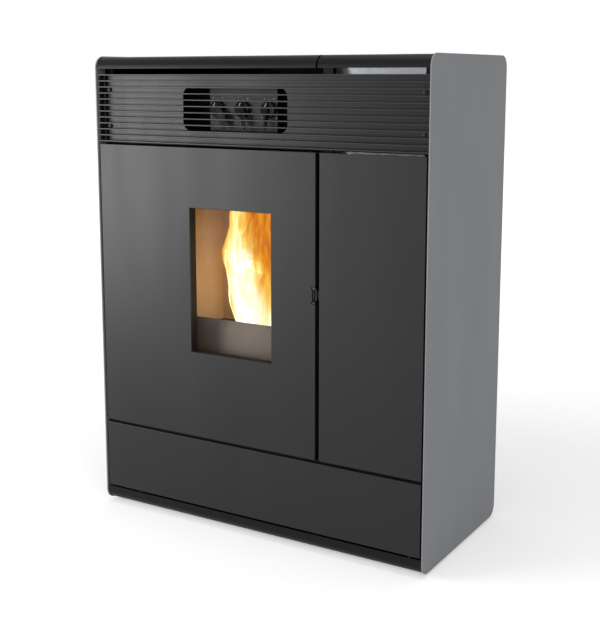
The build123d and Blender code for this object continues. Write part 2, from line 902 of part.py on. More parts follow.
def control_knob(x):
    """Round knob with a finger bar across its face and a shaft through the console."""
    face = face_y + console_depth - knob_gap
    front = face - knob_height
    body = Pos(x, face, console_z) * Rot(90, 0, 0) * Pos(0, 0, knob_height / 4) * Cylinder(
        knob_radius, knob_height / 2
    )
    bar_half = knob_bar_width / 2
    bar_reach = knob_radius - knob_taper
    z0, z1 = console_z - bar_reach, console_z + bar_reach
    bar = block(x - bar_half, x + bar_half, front, face - knob_height / 2, z0, z1)
    bar = fillet(bar.edges().filter_by(Axis.Y), knob_bar_round)
    shaft_end = face_y + console_depth + console_face_raise + board_gap - knob_shaft_end_gap
    shaft = rod_y(x, face, shaft_end, console_z, knob_shaft_radius)
    return body + bar + shaft


def console_board():
    """Circuit board behind the console with three potentiometer bodies."""
    y0 = face_y + console_depth + console_face_raise + board_gap
    board = block(
        console_x - console_face_width / 2,
        console_x + console_face_width / 2,
        y0,
        y0 + board_sheet,
        console_z - cutout_height / 3,
        console_z + cutout_height / 3,
    )
    post_y = face_y + console_depth + console_face_raise
    for sx in (-1, 1):
        for sz in (-1, 1):
            px = console_x + sx * (console_face_width / 2 - board_post_inset)
            pz = console_z + sz * (cutout_height / 3 - board_post_inset)
            board += rod_y(px, post_y, y0, pz, board_post_radius)
    rear = y0 + board_sheet
    for x in knob_places():
        board += rod_y(x, rear, rear + dial_body_length, console_z, dial_body_radius)
    return board


# ================================================================ fire door
def door_skin():
    """Front sheet of the fire door with the window and the latch notch."""
    sheet = block(door_left, door_right, face_y, skin_back, door_bottom, door_top)
    y0, y1 = face_y - through, skin_back + through
    sheet -= block(window_left, window_right, y0, y1, window_bottom, window_top)
    sheet = soften_front(sheet, edge_round)
    notch_x = door_right - latch_notch_width
    half = latch_notch_height / 2
    sheet -= block(notch_x, door_right + through, y0, y1, latch_z - half, latch_z + half)
    ear = latch_ear / 2
    for z in (latch_z - half + ear, latch_z + half - ear):
        sheet -= block(notch_x - ear, notch_x + 1, y0, y1, z - ear, z + ear)
    return sheet


def rope_ring(width, height, corner):
    """Centre line of the rope as a closed wire in the XZ plane."""
    outline = RectangleRounded(width, height, corner)
    return (Pos(window_x, rope_y, window_z) * Rot(90, 0, 0) * outline).wire()


def door_frame():
    """Pressed tray behind the skin that holds the glass, the rope and the hinge pins."""
    y0, y1 = skin_back, door_frame_back
    frame = block(door_frame_left, door_frame_right, y0, y1, door_frame_bottom, door_frame_top)
    t = door_frame_sheet
    pocket = block(
        door_frame_left + t, door_frame_right - t, y0 - 1, y1 - t, door_frame_bottom + t, door_frame_top - t
    )
    window_wall = block(
        window_left - t, window_right + t, y0, y1, window_bottom - t, window_top + t
    )
    frame -= pocket - window_wall
    frame -= block(window_left, window_right, y0 - 1, y1 + 1, window_bottom, window_top)
    for z in (door_frame_bottom, door_frame_top - hinge_pin_seat):
        frame += block(
            door_frame_left, hinge_x + hinge_arm_half, y0, y1, z, z + hinge_pin_seat
        )
        frame -= rod_z(hinge_x, hinge_y, z - 1, z + hinge_pin_seat + 1, hinge_pin_radius)
    width = window_width + 2 * rope_margin_x
    height = window_height + 2 * rope_margin_z
    for offset in (rope_diameter / 2 + rope_rib, -rope_diameter / 2):
        frame += ring_xz(
            width + 2 * offset,
            height + 2 * offset,
            rope_corner + offset,
            rope_rib,
            window_x,
            window_z,
            y1,
            y1 + rope_rib_depth,
        )
    arm = latch_pocket()
    frame -= block(*arm)
    frame += latch_cheeks()
    return frame


def latch_pivot():
    """Axis of the latch, upright, just inside the door's free edge."""
    return door_frame_right - latch_thickness, skin_back + door_frame_depth / 2


def latch_pocket():
    """Space for the latch at the free edge of the frame."""
    x0 = latch_pivot()[0] - latch_arm
    half = latch_notch_height / 2 + latch_gap
    y0, y1 = skin_back - 1, door_frame_back + 1
    return x0, door_right + through, y0, y1, latch_z - half, latch_z + half


def latch_cheeks():
    """Two plates of the frame above and below the latch, bored for its pin."""
    x, y = latch_pivot()
    half = latch_notch_height / 2 + latch_gap
    x0, x1 = x - latch_arm, door_frame_right
    cheeks = block(x0, x1, skin_back, door_frame_back, latch_z + half, latch_z + half + latch_cheek)
    cheeks += block(x0, x1, skin_back, door_frame_back, latch_z - half - latch_cheek, latch_z - half)
    z0, z1 = latch_z - half - latch_cheek, latch_z + half + latch_cheek
    cheeks += block(x0 - door_frame_sheet, x0, skin_back, door_frame_back, z0, z1)
    return cheeks - rod_z(x, y, z0 - 1, z1 + 1, latch_pin_radius + latch_pin_gap)


def door_latch():
    """Latch lever in the notch: front grip, pivot barrel and a nose towards the catch."""
    x, y = latch_pivot()
    half = latch_notch_height / 2 - latch_gap
    grip_x0 = door_right - latch_notch_width + latch_gap
    grip_x1 = door_right - latch_setback
    grip = block(grip_x0, grip_x1, face_y + latch_setback, y, latch_z - half, latch_z + half)
    grip = soften_front(grip, edge_round)
    finger_z0, finger_z1 = latch_z - half + latch_ear, latch_z + half - latch_ear
    grip -= block(grip_x0 - 1, door_right, face_y, face_y + latch_grip_depth, finger_z0, finger_z1)
    barrel = rod_z(x, y, latch_z - half, latch_z + half, latch_thickness)
    nose_x, nose_y0, nose_y1 = door_right + latch_nose_reach, y - latch_nose_front, y + latch_nose_rear
    nose = block(x, nose_x, nose_y0, nose_y1, latch_z - half / 2, latch_z + half / 2)
    pin_half = latch_notch_height / 2 + latch_gap + latch_cheek
    pin = rod_z(x, y, latch_z - pin_half, latch_z + pin_half, latch_pin_radius)
    return grip + barrel + nose + pin


def door_catch():
    """Catch plate on the centre bulkhead, beside the latch nose."""
    x0, x1 = centre_right, centre_right + catch_thickness
    half = catch_height / 2
    return block(x0, x1, frame_y - catch_depth, frame_y, latch_z - half, latch_z + half)


def glass_gasket():
    """Flat gasket between the frame and the glass."""
    y0, y1 = door_frame_back, door_frame_back + glass_gasket_sheet
    b = glass_gasket_width
    x0, x1 = window_left - glass_overlap, window_right + glass_overlap
    z0, z1 = window_bottom - glass_overlap, window_top + glass_overlap
    ring = block(x0, x1, y0, y1, z0, z1)
    return ring - block(x0 + b, x1 - b, y0 - 1, y1 + 1, z0 + b, z1 - b)


def door_glass():
    """Ceramic glass pane behind the window."""
    y0 = door_frame_back + glass_gasket_sheet
    width = window_width + 2 * glass_overlap
    height = window_height + 2 * glass_overlap
    return plate_xz(width, height, glass_corner, window_x, window_z, y0, y0 + glass_sheet)


def clip_places():
    """Middle of each glass clip and the side it comes from: (x, z, dx, dz)."""
    half_w = window_width / 2 + glass_overlap
    half_h = window_height / 2 + glass_overlap
    for dz in (-1, 1):
        for fx in (-clip_spread_x, clip_spread_x):
            yield window_x + fx * half_w, window_z + dz * half_h, 0, dz
    for dx in (-1, 1):
        for fz in (-clip_spread_z, clip_spread_z):
            yield window_x + dx * half_w, window_z + fz * half_h, dx, 0


def glass_clips():
    """Stepped clips that press the glass to the frame."""
    pane = door_frame_back + glass_gasket_sheet + glass_sheet
    clips = []
    for x, z, dx, dz in clip_places():
        hx = clip_length / 2 if dx == 0 else clip_reach
        hz = clip_length / 2 if dz == 0 else clip_reach
        top = block(x - hx, x + hx, pane, pane + clip_sheet, z - hz, z + hz)
        g = clip_foot_gap
        fx0, fx1 = sorted((x + dx * g, x + dx * clip_reach)) if dx else (x - hx, x + hx)
        fz0, fz1 = sorted((z + dz * g, z + dz * clip_reach)) if dz else (z - hz, z + hz)
        foot = block(fx0, fx1, door_frame_back, pane, fz0, fz1)
        clips.append(top + foot)
    return clips


def clip_screws():
    """One pan-head screw in each clip."""
    y0 = door_frame_back + glass_gasket_sheet + glass_sheet + clip_sheet
    y1 = y0 + clip_screw_head
    return [
        rod_y(x + dx * clip_reach / 2, y0, y1, z + dz * clip_reach / 2, clip_screw_radius)
        for x, z, dx, dz in clip_places()
    ]


def door_rope():
    """Round sealing rope in the channel on the back of the door."""
    width = window_width + 2 * rope_margin_x
    height = window_height + 2 * rope_margin_z
    path = rope_ring(width, height, rope_corner)
    start = path @ 0
    section = Plane(start, z_dir=path % 0) * Circle(rope_diameter / 2 - rope_slack)
    return sweep(section, path=path)


def hinge_bracket(z0):
    """Arm from the chassis flange to the door's hinge axis."""
    z1 = z0 + hinge_block_height
    arm_x = hinge_x - hinge_arm_offset
    arm = block(arm_x, arm_x + hinge_arm_width, hinge_y, frame_y, z0, z1)
    eye = rod_z(hinge_x, hinge_y, z0, z1, hinge_arm_half)
    bore = rod_z(hinge_x, hinge_y, z0 - 1, z1 + 1, hinge_pin_radius + hinge_pin_gap)
    return arm + eye - bore


def door_hinge_pins():
    """Upper and lower pin, each held in the door frame and turning in its bracket."""
    reach = hinge_end_gap + hinge_block_height
    upper = (door_frame_top - hinge_pin_seat, door_frame_top + reach)
    lower = (door_frame_bottom - reach, door_frame_bottom + hinge_pin_seat)
    return [rod_z(hinge_x, hinge_y, z0, z1, hinge_pin_radius) for z0, z1 in (lower, upper)]


def upper_bracket_z():
    return door_frame_top + hinge_end_gap


def lower_bracket_z():
    return door_frame_bottom - hinge_end_gap - hinge_block_height


# ================================================================ front panels
def side_front_panel():
    """Fixed front panel of the pellet side, a tray whose flange stands on the chassis."""
    sheet = block(side_panel_left, skin_x, face_y, skin_back, door_bottom, door_top)
    sheet = soften_front(sheet, edge_round)
    x0, x1 = side_panel_left + tray_inset, skin_x - stiffener_inset_x
    z0, z1 = door_bottom + stiffener_inset_z, door_top - stiffener_inset_z
    t = stiffener_sheet
    tray = block(x0, x1, skin_back, frame_y, z0, z1)
    return sheet + tray - block(x0 + t, x1 - t, skin_back, frame_y + 1, z0 + t, z1 - t)


def lower_front_panel():
    """Full-width front of the ash drawer with a stiffening ring behind it."""
    sheet = block(-skin_x, skin_x, face_y, skin_back, lower_panel_bottom, lower_panel_top)
    sheet = soften_front(sheet, edge_round)
    x1 = skin_x - stiffener_inset_x
    z0 = lower_panel_bottom + stiffener_inset_z
    z1 = pan_bottom + pan_height + 2 * stiffener_sheet
    y1 = skin_back + stiffener_depth
    t = stiffener_sheet
    ring = block(-x1, x1, skin_back, y1, z0, z1)
    return sheet + ring - block(-x1 + t, x1 - t, skin_back, y1 + 1, z0 + t, z1 - t)


def ash_pan():
    """Open sheet pan that hangs on the drawer front under the chute."""
    x0, x1 = window_x - pan_width / 2, window_x + pan_width / 2
    y0, y1 = skin_back, pan_rear
    z0, z1 = pan_bottom, pan_bottom + pan_height
    pan = block(x0, x1, y0, y1, z0, z1)
    return pan - block(x0 + pan_wall, x1 - pan_wall, y0 + pan_wall, y1 - pan_wall, z0 + pan_wall, z1 + 1)


def drawer_runner(side):
    """Bar on the back of the drawer front that slides in its rail."""
    x1 = rail_x - rail_sheet - runner_gap
    x0 = x1 - runner_thickness
    bar = block(x0, x1, skin_back, skin_back + runner_length, runner_z, runner_z + runner_height)
    return bar if side > 0 else mirror(bar, Plane.YZ)


def drawer_rail(side):
    """Channel that stands on the base tray and guides one runner."""
    y0, y1 = frame_y, skin_back + runner_length + rail_past_runner
    low = runner_z - runner_gap
    high = runner_z + runner_height + runner_gap
    x0 = rail_x - rail_sheet - runner_gap - runner_thickness
    rail = block(rail_x - rail_sheet, rail_x, y0, y1, frame_bottom, high + rail_sheet)
    rail += block(x0, rail_x, y0, y1, low - rail_sheet, low)
    rail += block(x0, rail_x, y0, y1, high, high + rail_sheet)
    rail += block(x0, rail_x, y0, y1, frame_bottom, frame_bottom + rail_sheet)
    return rail if side > 0 else mirror(rail, Plane.YZ)


# ================================================================ firebox
def firebox_front():
    """Front plate of the firebox with its mouth and the seats of the exchanger tubes."""
    x0, x1 = shell_left - shell_wall, shell_right + shell_wall
    plate = block(x0, x1, front_plate_y, front_plate_back, shell_bottom, shell_top)
    plate -= block(
        window_left - mouth_margin_x,
        window_right + mouth_margin_x,
        front_plate_y - through,
        front_plate_back + through,
        window_bottom - mouth_margin_z,
        window_top + mouth_margin_z,
    )
    y0, y1 = front_plate_y - through, front_plate_back + through
    for x in tube_places():
        plate -= rod_y(x, y0, y1, tube_z, tube_radius + tube_seat_gap)
    return plate


def tube_places():
    pitch = (fire_right - fire_left - 2 * tube_radius) / (tube_count - 1)
    return [fire_left + tube_radius + i * pitch for i in range(tube_count)]


def firebox_shell():
    """Steel plates of the box behind the front plate: two sides, top, floor and rear."""
    w = shell_wall
    y0, y1 = front_plate_back, shell_back
    left = block(shell_left - w, shell_left, y0, shell_rear, shell_bottom, shell_top)
    right = block(shell_right, shell_right + w, y0, shell_rear, shell_bottom, shell_top)
    top = block(shell_left, shell_right, y0, y1, shell_top - w, shell_top)
    return [left, right, top, firebox_floor(), firebox_rear()]


def firebox_floor():
    """Floor plate with openings for the ash chute and the smoke duct."""
    z0, z1 = shell_bottom, shell_bottom + shell_wall
    floor = block(shell_left, shell_right, front_plate_back, shell_back, z0, z1)
    floor -= block(*chute_plan(chute_wall), z0 - 1, z1 + 1)
    x0, x1, y0, _ = duct_plan(duct_wall)
    return floor - block(x0 + shell_wall, x1, y0, shell_back - shell_wall, z0 - 1, z1 + 1)


def firebox_rear():
    """Rear plate with holes for the tubes, the pellet drop, the igniter and the air pipe."""
    rear = block(shell_left, shell_right, shell_back, shell_rear, shell_bottom, shell_top)
    y0, y1 = shell_back - through, shell_rear + through
    for x in tube_places():
        rear -= rod_y(x, y0, y1, tube_z, tube_radius + tube_seat_gap)
    rear -= block(*drop_plan(), y0, y1, *drop_heights(drop_seat_gap))
    rear -= rod_y(pot_x, y0, y1, igniter_z, igniter_radius + igniter_gap)
    return rear - rod_y(air_inlet_x, y0, y1, igniter_z, air_pipe_radius + air_inlet_gap)


def chute_plan(wall):
    """X and Y range inside the ash chute."""
    return (
        pot_x - chute_width / 2 + wall,
        pot_x + chute_width / 2 - wall,
        pot_y - chute_depth / 2 + wall,
        pot_y + chute_depth / 2 - wall,
    )


def ash_chute():
    """Sheet chute from the firebox down to the ash pan."""
    outer = block(*chute_plan(0), chute_bottom, shell_bottom)
    return outer - block(*chute_plan(chute_wall), chute_bottom - 1, shell_bottom + 1)


def hearth_plate():
    """Cast plate that carries the burn pot, with an opening for it."""
    y0 = guard_y + guard_sheet
    plate = block(shell_left, shell_right, y0, shell_back, hearth_bottom, hearth_z)
    g = pot_seat_gap
    return plate - block(
        pot_x - pot_width / 2 - g,
        pot_x + pot_width / 2 + g,
        pot_y - pot_depth / 2 - g,
        pot_y + pot_depth / 2 + g,
        hearth_bottom - 1,
        hearth_z + 1,
    )


def ash_guard():
    """Low plate behind the glass that keeps ash off it."""
    return block(
        shell_left,
        shell_right,
        guard_y,
        guard_y + guard_sheet,
        hearth_z - guard_below_hearth,
        hearth_z + guard_above_hearth,
    )


def side_lining(side):
    """Refractory board on one side wall of the firebox."""
    x0, x1 = (shell_left, fire_left) if side < 0 else (fire_right, shell_right)
    return block(x0, x1, guard_y + guard_sheet, shell_back, hearth_z, lining_top)


def rear_lining():
    """Refractory board on the rear wall, notched for the pellet drop."""
    board = block(fire_left, fire_right, fire_back, shell_back, hearth_z, lining_top)
    g = drop_lining_gap
    return board - block(*drop_plan(g), fire_back - 1, shell_back + 1, *drop_heights(g))


def flame_baffle():
    """Refractory board over the fire that turns the gases to the front."""
    y0 = front_plate_back + baffle_front_slot
    return block(shell_left, shell_right, y0, shell_back, lining_top, lining_top + baffle_sheet)


def exchanger_tube(x):
    """Open steel tube through which room air crosses the hot gases."""
    y0, y1 = front_plate_y - tube_front_reach, shell_rear + tube_rear_reach
    tube = rod_y(x, y0, y1, tube_z, tube_radius)
    return tube - rod_y(x, y0 - through, y1 + through, tube_z, tube_radius - tube_wall)


def burn_pot():
    """Cast basket with air holes and a flange that rests on the hearth plate."""
    x0, x1 = pot_x - pot_width / 2, pot_x + pot_width / 2
    y0, y1 = pot_y - pot_depth / 2, pot_y + pot_depth / 2
    z0, z1 = hearth_z - pot_below_hearth, hearth_z + pot_above_hearth
    w = pot_wall
    pot = block(x0, x1, y0, y1, z0, z1)
    f = pot_flange
    pot += block(x0 - f, x1 + f, y0 - f, y1 + f, hearth_z, hearth_z + pot_flange_sheet)
    pot -= block(x0 + w, x1 - w, y0 + w, y1 - w, z0 + w, z1 + 1)
    span_x = (pot_hole_columns - 1) * pot_hole_pitch
    span_y = (pot_hole_rows - 1) * pot_hole_pitch
    for i in range(pot_hole_columns):
        for j in range(pot_hole_rows):
            hx = pot_x - span_x / 2 + i * pot_hole_pitch
            hy = pot_y - span_y / 2 + j * pot_hole_pitch
            pot -= rod_z(hx, hy, z0 - 1, z0 + w + 1, pot_hole_radius)
    return pot


def igniter():
    """Ceramic cartridge through the rear wall, ending at the burn pot."""
    y0 = pot_y + pot_depth / 2 + igniter_pot_gap
    body = rod_y(pot_x, y0, y0 + igniter_length, igniter_z, igniter_radius)
    return body + rod_y(pot_x, shell_rear, shell_rear + igniter_collar, igniter_z, igniter_collar_radius)


# ================================================================ hopper and feed
def hopper_outlet():
    """X and Y range of the hopper's outlet over the feed tube."""
    half_x, half_y = outlet_width / 2, outlet_depth / 2
    return auger_low_x - half_x, auger_low_x + half_x, auger_y - half_y, auger_y + half_y


def outlet_z():
    """Height at which the outlet meets the inlet box of the feed tube."""
    return auger_low_z + auger_inlet_height


def hopper_outline(x0, x1, y0, y1, z):
    """Outer and inner corners of the hopper's wall at one height."""
    w = hopper_wall
    outer = [(x0, y0, z), (x1, y0, z), (x1, y1, z), (x0, y1, z)]
    inner = [
        (x0 + w, y0 + w, z),
        (x1 - w, y0 + w, z),
        (x1 - w, y1 - w, z),
        (x0 + w, y1 - w, z),
    ]
    return outer, inner


def hopper_walls(lower, upper):
    """Plates between the outlines at two heights, mitred at the corners."""
    walls = []
    for i in range(-1, len(lower[0]) - 1):
        ends = [
            make_face(Polyline(outer[i], outer[i + 1], inner[i + 1], inner[i], close=True))
            for outer, inner in (lower, upper)
        ]
        walls.append(loft(ends, ruled=True))
    return walls


def hopper_rim_strips():
    """Flange round the mouth of the hopper, out to the bulkheads on both sides."""
    f = hopper_rim_flange
    x0, x1, y0, y1 = hopper_left, hopper_right, hopper_front, hopper_back
    z = hopper_rim - hopper_wall, hopper_rim
    side_x = frame_x - frame_sheet
    return [
        block(centre_right, x0, y0 - f, y1 + f, *z),
        block(x1, side_x, y0 - f, y1 + f, *z),
        block(x0, x1, y0 - f, y0, *z),
        block(x0, x1, y1, y1 + f, *z),
    ]


def pellet_hopper():
    """Sheet-metal bin with a funnel to the feed tube and a rim under the lid."""
    plan = hopper_left, hopper_right, hopper_front, hopper_back
    foot = hopper_outline(*hopper_outlet(), outlet_z())
    knee = hopper_outline(*plan, hopper_knee)
    rim = hopper_outline(*plan, hopper_rim)
    return hopper_walls(foot, knee) + hopper_walls(knee, rim) + hopper_rim_strips()


def hopper_grid():
    """Safety grid across the bin: bars between the frame's bars, and cross bars that lie on them."""
    g, t, r = grid_seat_gap, grid_bar, grid_bar / 2
    x0, x1 = hopper_left + hopper_wall + g, hopper_right - hopper_wall - g
    y0, y1 = hopper_front + hopper_wall + g, hopper_back - hopper_wall - g
    z = hopper_rim - grid_drop
    bars = [block(x, x + t, y0, y1, z - t, z) for x in (x0, x1 - t)]
    bars += [block(x0 + t, x1 - t, y, y + t, z - t, z) for y in (y0, y1 - t)]
    for i in range(1, grid_count_x + 1):
        x = x0 + i * (x1 - x0) / (grid_count_x + 1)
        bars.append(rod_y(x, y0 + t, y1 - t, z - r, r))
    for j in range(1, grid_count_y + 1):
        y = y0 + j * (y1 - y0) / (grid_count_y + 1)
        bars.append(rod_x(x0, x1, y, z + r, r))
    return bars


def lid_gasket():
    """Soft strip on the underside of the lid, over the rim of the hopper."""
    x0, x1, y0, y1 = hopper_left, hopper_right, hopper_front, hopper_back
    w = gasket_width
    z0, z1 = hopper_rim + gasket_gap, frame_top
    ring = block(x0 - w / 2, x1 + w / 2, y0 - w / 2, y1 + w / 2, z0, z1)
    return ring - block(x0 + w / 2, x1 - w / 2, y0 + w / 2, y1 - w / 2, z0 - 1, z1 + 1)


def auger_rod(start, length, radius):
    """A round bar on the feed axis, from start along it."""
    tilt = 90 - auger_angle
    bar = Pos(0, 0, length / 2) * Cylinder(radius, length)
    return Pos(auger_low_x, auger_y, auger_low_z) * Rot(0, -tilt, 0) * Pos(0, 0, start) * bar


def auger_place(part):
    """Put a part modelled along +Z on the feed axis."""
    tilt = 90 - auger_angle
    return Pos(auger_low_x, auger_y, auger_low_z) * Rot(0, -tilt, 0) * part


def auger_tube():
    """Feed tube with an inlet box under the hopper and an outlet at its upper end."""
    lead = auger_lead
    tube = auger_rod(-lead, auger_length + lead, auger_tube_radius)
    x0, x1, y0, y1 = hopper_outlet()
    w = auger_inlet_wall
    tube += block(x0, x1, y0, y1, auger_low_z, outlet_z())
    tube -= auger_rod(-lead + auger_end_plate, auger_length + lead, auger_tube_radius - auger_tube_wall)
    tube -= block(x0 + w, x1 - w, y0 + w, y1 - w, auger_low_z, outlet_z() + 1)
    return tube - auger_rod(-lead - 1, auger_end_plate + 2, auger_shaft_radius + auger_shaft_gap)


def auger_screw():
    """Feed screw: a shaft with one continuous flight."""
    shaft_length = auger_length + auger_lead
    shaft = Pos(0, 0, shaft_length / 2) * Cylinder(auger_shaft_radius, shaft_length)
    flight_length = auger_length + auger_lead - auger_flight_start - auger_flight_end
    helix = Helix(auger_pitch, flight_length, auger_shaft_radius)
    root_overlap = 1.0
    width = auger_radius - auger_shaft_radius + root_overlap
    section = Plane(helix @ 0, x_dir=(1, 0, 0), z_dir=helix % 0) * Pos(
        width / 2 - root_overlap, 0
    ) * Rectangle(width, auger_flight)
    flight = sweep(section, path=helix, is_frenet=True)
    screw = shaft + Pos(0, 0, auger_motor_shaft + auger_flight_start) * flight
    return auger_place(Pos(0, 0, -auger_lead - auger_motor_shaft) * screw)


def auger_motor():
    """Gear motor on the closed end of the feed tube, with a bore for the screw's shaft."""
    body = Pos(0, 0, -auger_lead - motor_length / 2) * Box(motor_side, motor_side, motor_length)
    body = fillet(body.edges().filter_by(Axis.Z), motor_corner)
    bore_depth = auger_motor_shaft + motor_gap
    bore = auger_rod(-auger_lead - bore_depth, bore_depth + 1, auger_shaft_radius + auger_shaft_gap)
    return auger_place(body) - bore


def drop_plan(grow=0.0):
    """X range of the pellet drop duct."""
    return pot_x - drop_width / 2 - grow, pot_x + drop_width / 2 + grow


def drop_heights(grow=0.0):
    """Z range where the drop duct passes the rear wall of the firebox."""
    z1 = auger_end_z - drop_below_axis
    return z1 - drop_height - grow, z1 + grow


def pellet_drop():
    """Box at the feed tube's end with a duct through the rear wall of the firebox."""
    x0, x1 = drop_plan(-drop_seat_gap)
    z0, z1 = drop_heights(-drop_seat_gap)
    w = drop_wall
    rear = auger_y + auger_tube_radius + 2 * w
    top = auger_end_z + auger_tube_radius + drop_headroom
    drop = block(x0, x1, fire_back, shell_rear + 2 * w, z0, z1)
    box_left = pot_x + auger_end_from_pot - drop_width
    drop += block(box_left, x1, shell_rear + drop_seat_gap, rear, z0, top)
    drop -= block(x0 + w, x1 - w, fire_back - 1, rear - w, z0 + w, z1 - w)
    drop -= block(box_left + w, x1 - w, shell_rear + drop_seat_gap + w, rear - w, z0 + w, top - w)
    return drop - auger_rod(0, auger_length + 2 * auger_tube_radius, auger_tube_radius + drop_seat_gap)


# ================================================================ flue gas side
def scroll(radius, half_width, outlet_wall, length):
    """Round fan body with a square outlet at its foot that leads to the rear."""
    x0, x1 = fan_x - half_width, fan_x + half_width
    z0 = fan_z - fan_radius + outlet_wall
    body = rod_x(x0, x1, fan_y, fan_z, radius)
    return body + block(x0, x1, fan_y, length, z0, fan_z - fan_radius + fan_outlet - outlet_wall)


def exhaust_housing():
    """Flue fan housing with its inlet on the right and the shaft hole on the left."""
    w = fan_wall
    body = scroll(fan_radius, fan_width / 2, 0, frame_back)
    body -= scroll(fan_radius - w, fan_width / 2 - w, w, frame_back + 1)
    x1 = fan_x + fan_width / 2
    body -= rod_x(x1 - w - 1, x1 + 1, fan_y, fan_z, fan_inlet_radius)
    x0 = fan_x - fan_width / 2
    return body - rod_x(x0 - 1, x0 + w + 1, fan_y, fan_z, fan_shaft_radius + fan_shaft_gap)


def exhaust_impeller():
    """Paddle wheel with curved blades on its shaft."""
    x0 = fan_x - impeller_width / 2
    wheel = rod_x(x0, x0 + impeller_disc, fan_y, fan_z, impeller_radius)
    wheel += rod_x(x0, x0 + impeller_width, fan_y, fan_z, impeller_hub)
    for i in range(impeller_blades):
        arc = Rot(0, 0, i * 360 / impeller_blades) * impeller_blade()
        wheel += Pos(x0, fan_y, fan_z) * Rot(0, 90, 0) * arc
    shaft_x = fan_x - fan_width / 2 - fan_shaft_reach
    return wheel + rod_x(shaft_x, x0 + impeller_width, fan_y, fan_z, fan_shaft_radius)


def impeller_blade():
    """One blade, curved backwards, standing on the disc."""
    span = impeller_radius - impeller_hub
    bend = span * impeller_bend
    ring = Cylinder(bend, impeller_width) - Cylinder(bend - impeller_disc, impeller_width + 1)
    keep = Pos(span / 2 + impeller_hub - 1, bend / 2, 0) * Box(span, bend, impeller_width)
    blade = Pos(impeller_hub - 1, bend - impeller_disc / 2, 0) * ring & keep
    inside = Cylinder(impeller_radius - impeller_rim_gap, impeller_width)
    return Pos(0, 0, impeller_width / 2) * (blade & inside)


def exhaust_motor():
    """Motor of the flue fan with its flange and a bore for the shaft."""
    x1 = fan_x - fan_width / 2
    body = rod_x(x1 - fan_motor_length, x1 - motor_gap, fan_y, fan_z, fan_motor_radius)
    body = fillet(body.edges().filter_by(GeomType.CIRCLE).sort_by(Axis.X)[0], fan_motor_round)
    depth = fan_shaft_reach + fan_shaft_end_gap
    return body - rod_x(x1 - depth, x1, fan_y, fan_z, fan_shaft_radius + fan_shaft_gap)


def duct_plan(wall):
    """X and Y range inside the flue gas duct, from the firebox down to the fan."""
    x0 = fan_x + fan_width / 2
    y0 = fan_y - duct_depth
    y1 = fan_y + fan_inlet_radius + 2 * duct_wall
    return x0 + wall, x0 + duct_width - wall, y0 + wall, y1 - wall


def smoke_duct():
    """Sheet duct under the firebox that brings the gases to the fan inlet."""
    w = duct_wall
    x0, x1, y0, y1 = duct_plan(0)
    z0 = fan_z - fan_inlet_radius - 2 * w
    duct = block(x0, x1, y0, y1, z0, shell_bottom)
    duct -= block(x0 + w, x1 - w, y0 + w, y1 - w, z0 + w, shell_bottom - w)
    mouth_x0, mouth_y1 = x0 + w + shell_wall, shell_back - shell_wall
    duct -= block(mouth_x0, x1 - w, y0 + w, mouth_y1, shell_bottom - w - 1, shell_bottom + 1)
    return duct - rod_x(x0 - 1, x0 + w + 1, fan_y, fan_z, fan_inlet_radius)


def flue_spigot():
    """Round flue outlet with a square flange on the rear of the back panel."""
    half = flange_side / 2
    flange_rear = panel_rear + flange_sheet
    spigot = block(fan_x - half, fan_x + half, panel_rear, flange_rear, flue_z - half, flue_z + half)
    spigot += rod_y(fan_x, panel_rear, tail_y, flue_z, flue_radius)
    return spigot - rod_y(fan_x, panel_rear - 1, tail_y + 1, flue_z, flue_radius - flue_wall)


def air_inlet():
    """Combustion air pipe into the space under the hearth, with a wider spigot outside the back panel."""
    x, z = air_inlet_x, igniter_z
    pipe = rod_y(x, shell_back, panel_rear, z, air_pipe_radius)
    pipe += rod_y(x, panel_rear, tail_y, z, air_inlet_radius)
    return pipe - rod_y(x, shell_back - 1, tail_y + 1, z, air_pipe_radius - air_inlet_wall)


def stand_post(x, y):
    """Square tube leg between the base tray and the firebox."""
    half = post_side / 2
    post = block(x - half, x + half, y - half, y + half, frame_bottom, shell_bottom)
    t = half - post_wall
    return post - block(x - t, x + t, y - t, y + t, frame_bottom - 1, shell_bottom + 1)


def stand_posts():
    return [
        stand_post(x, y)
        for x in (shell_left + post_side / 2, shell_right - post_side / 2)
        for y in (front_plate_back + post_front, pot_y + post_rear)
    ]


# ================================================================ room air blower
def blower_housing_body():
    """Housing of the cross-flow blower, open to the front and to the top."""
    h = blower_housing
    w = blower_wall
    reach = blower_length / 2 + blower_end_gap
    x0, x1 = blower_x - reach, blower_x + reach
    body = block(x0 - w, x1 + w, blower_y - h, blower_y + h, blower_z - h, blower_z + h)
    body -= block(x0, x1, blower_y - h + w, blower_y + h - w, blower_z - h + w, blower_z + h + 1)
    body -= block(x0, x1, blower_y - h - 1, blower_y - h + w + 1, blower_z - h + 3 * w, blower_z + h / 2)
    bore_x0, bore_x1 = x0 - w - through, x1 + w + through
    return body - rod_x(bore_x0, bore_x1, blower_y, blower_z, blower_shaft_radius + blower_shaft_gap)


def blower_impeller():
    """Drum of straight blades between end discs, on a through shaft."""
    half = blower_length / 2
    x0, x1 = blower_x - half, blower_x + half
    drum = rod_x(x0, x0 + blower_disc, blower_y, blower_z, blower_radius)
    drum += rod_x(x1 - blower_disc, x1, blower_y, blower_z, blower_radius)
    vane = Box(blower_length, blower_blade_sheet, blower_blade_depth)
    vane = Pos(0, 0, blower_radius - blower_blade_inset) * Rot(blower_blade_angle, 0, 0) * vane
    for i in range(blower_blades):
        angle = i * 360 / blower_blades
        drum += Pos(blower_x, blower_y, blower_z) * Rot(angle, 0, 0) * vane
    reach = blower_end_gap + blower_wall
    shaft_end = x1 + reach + blower_shaft_reach
    return drum + rod_x(x0 - reach, shaft_end, blower_y, blower_z, blower_shaft_radius)


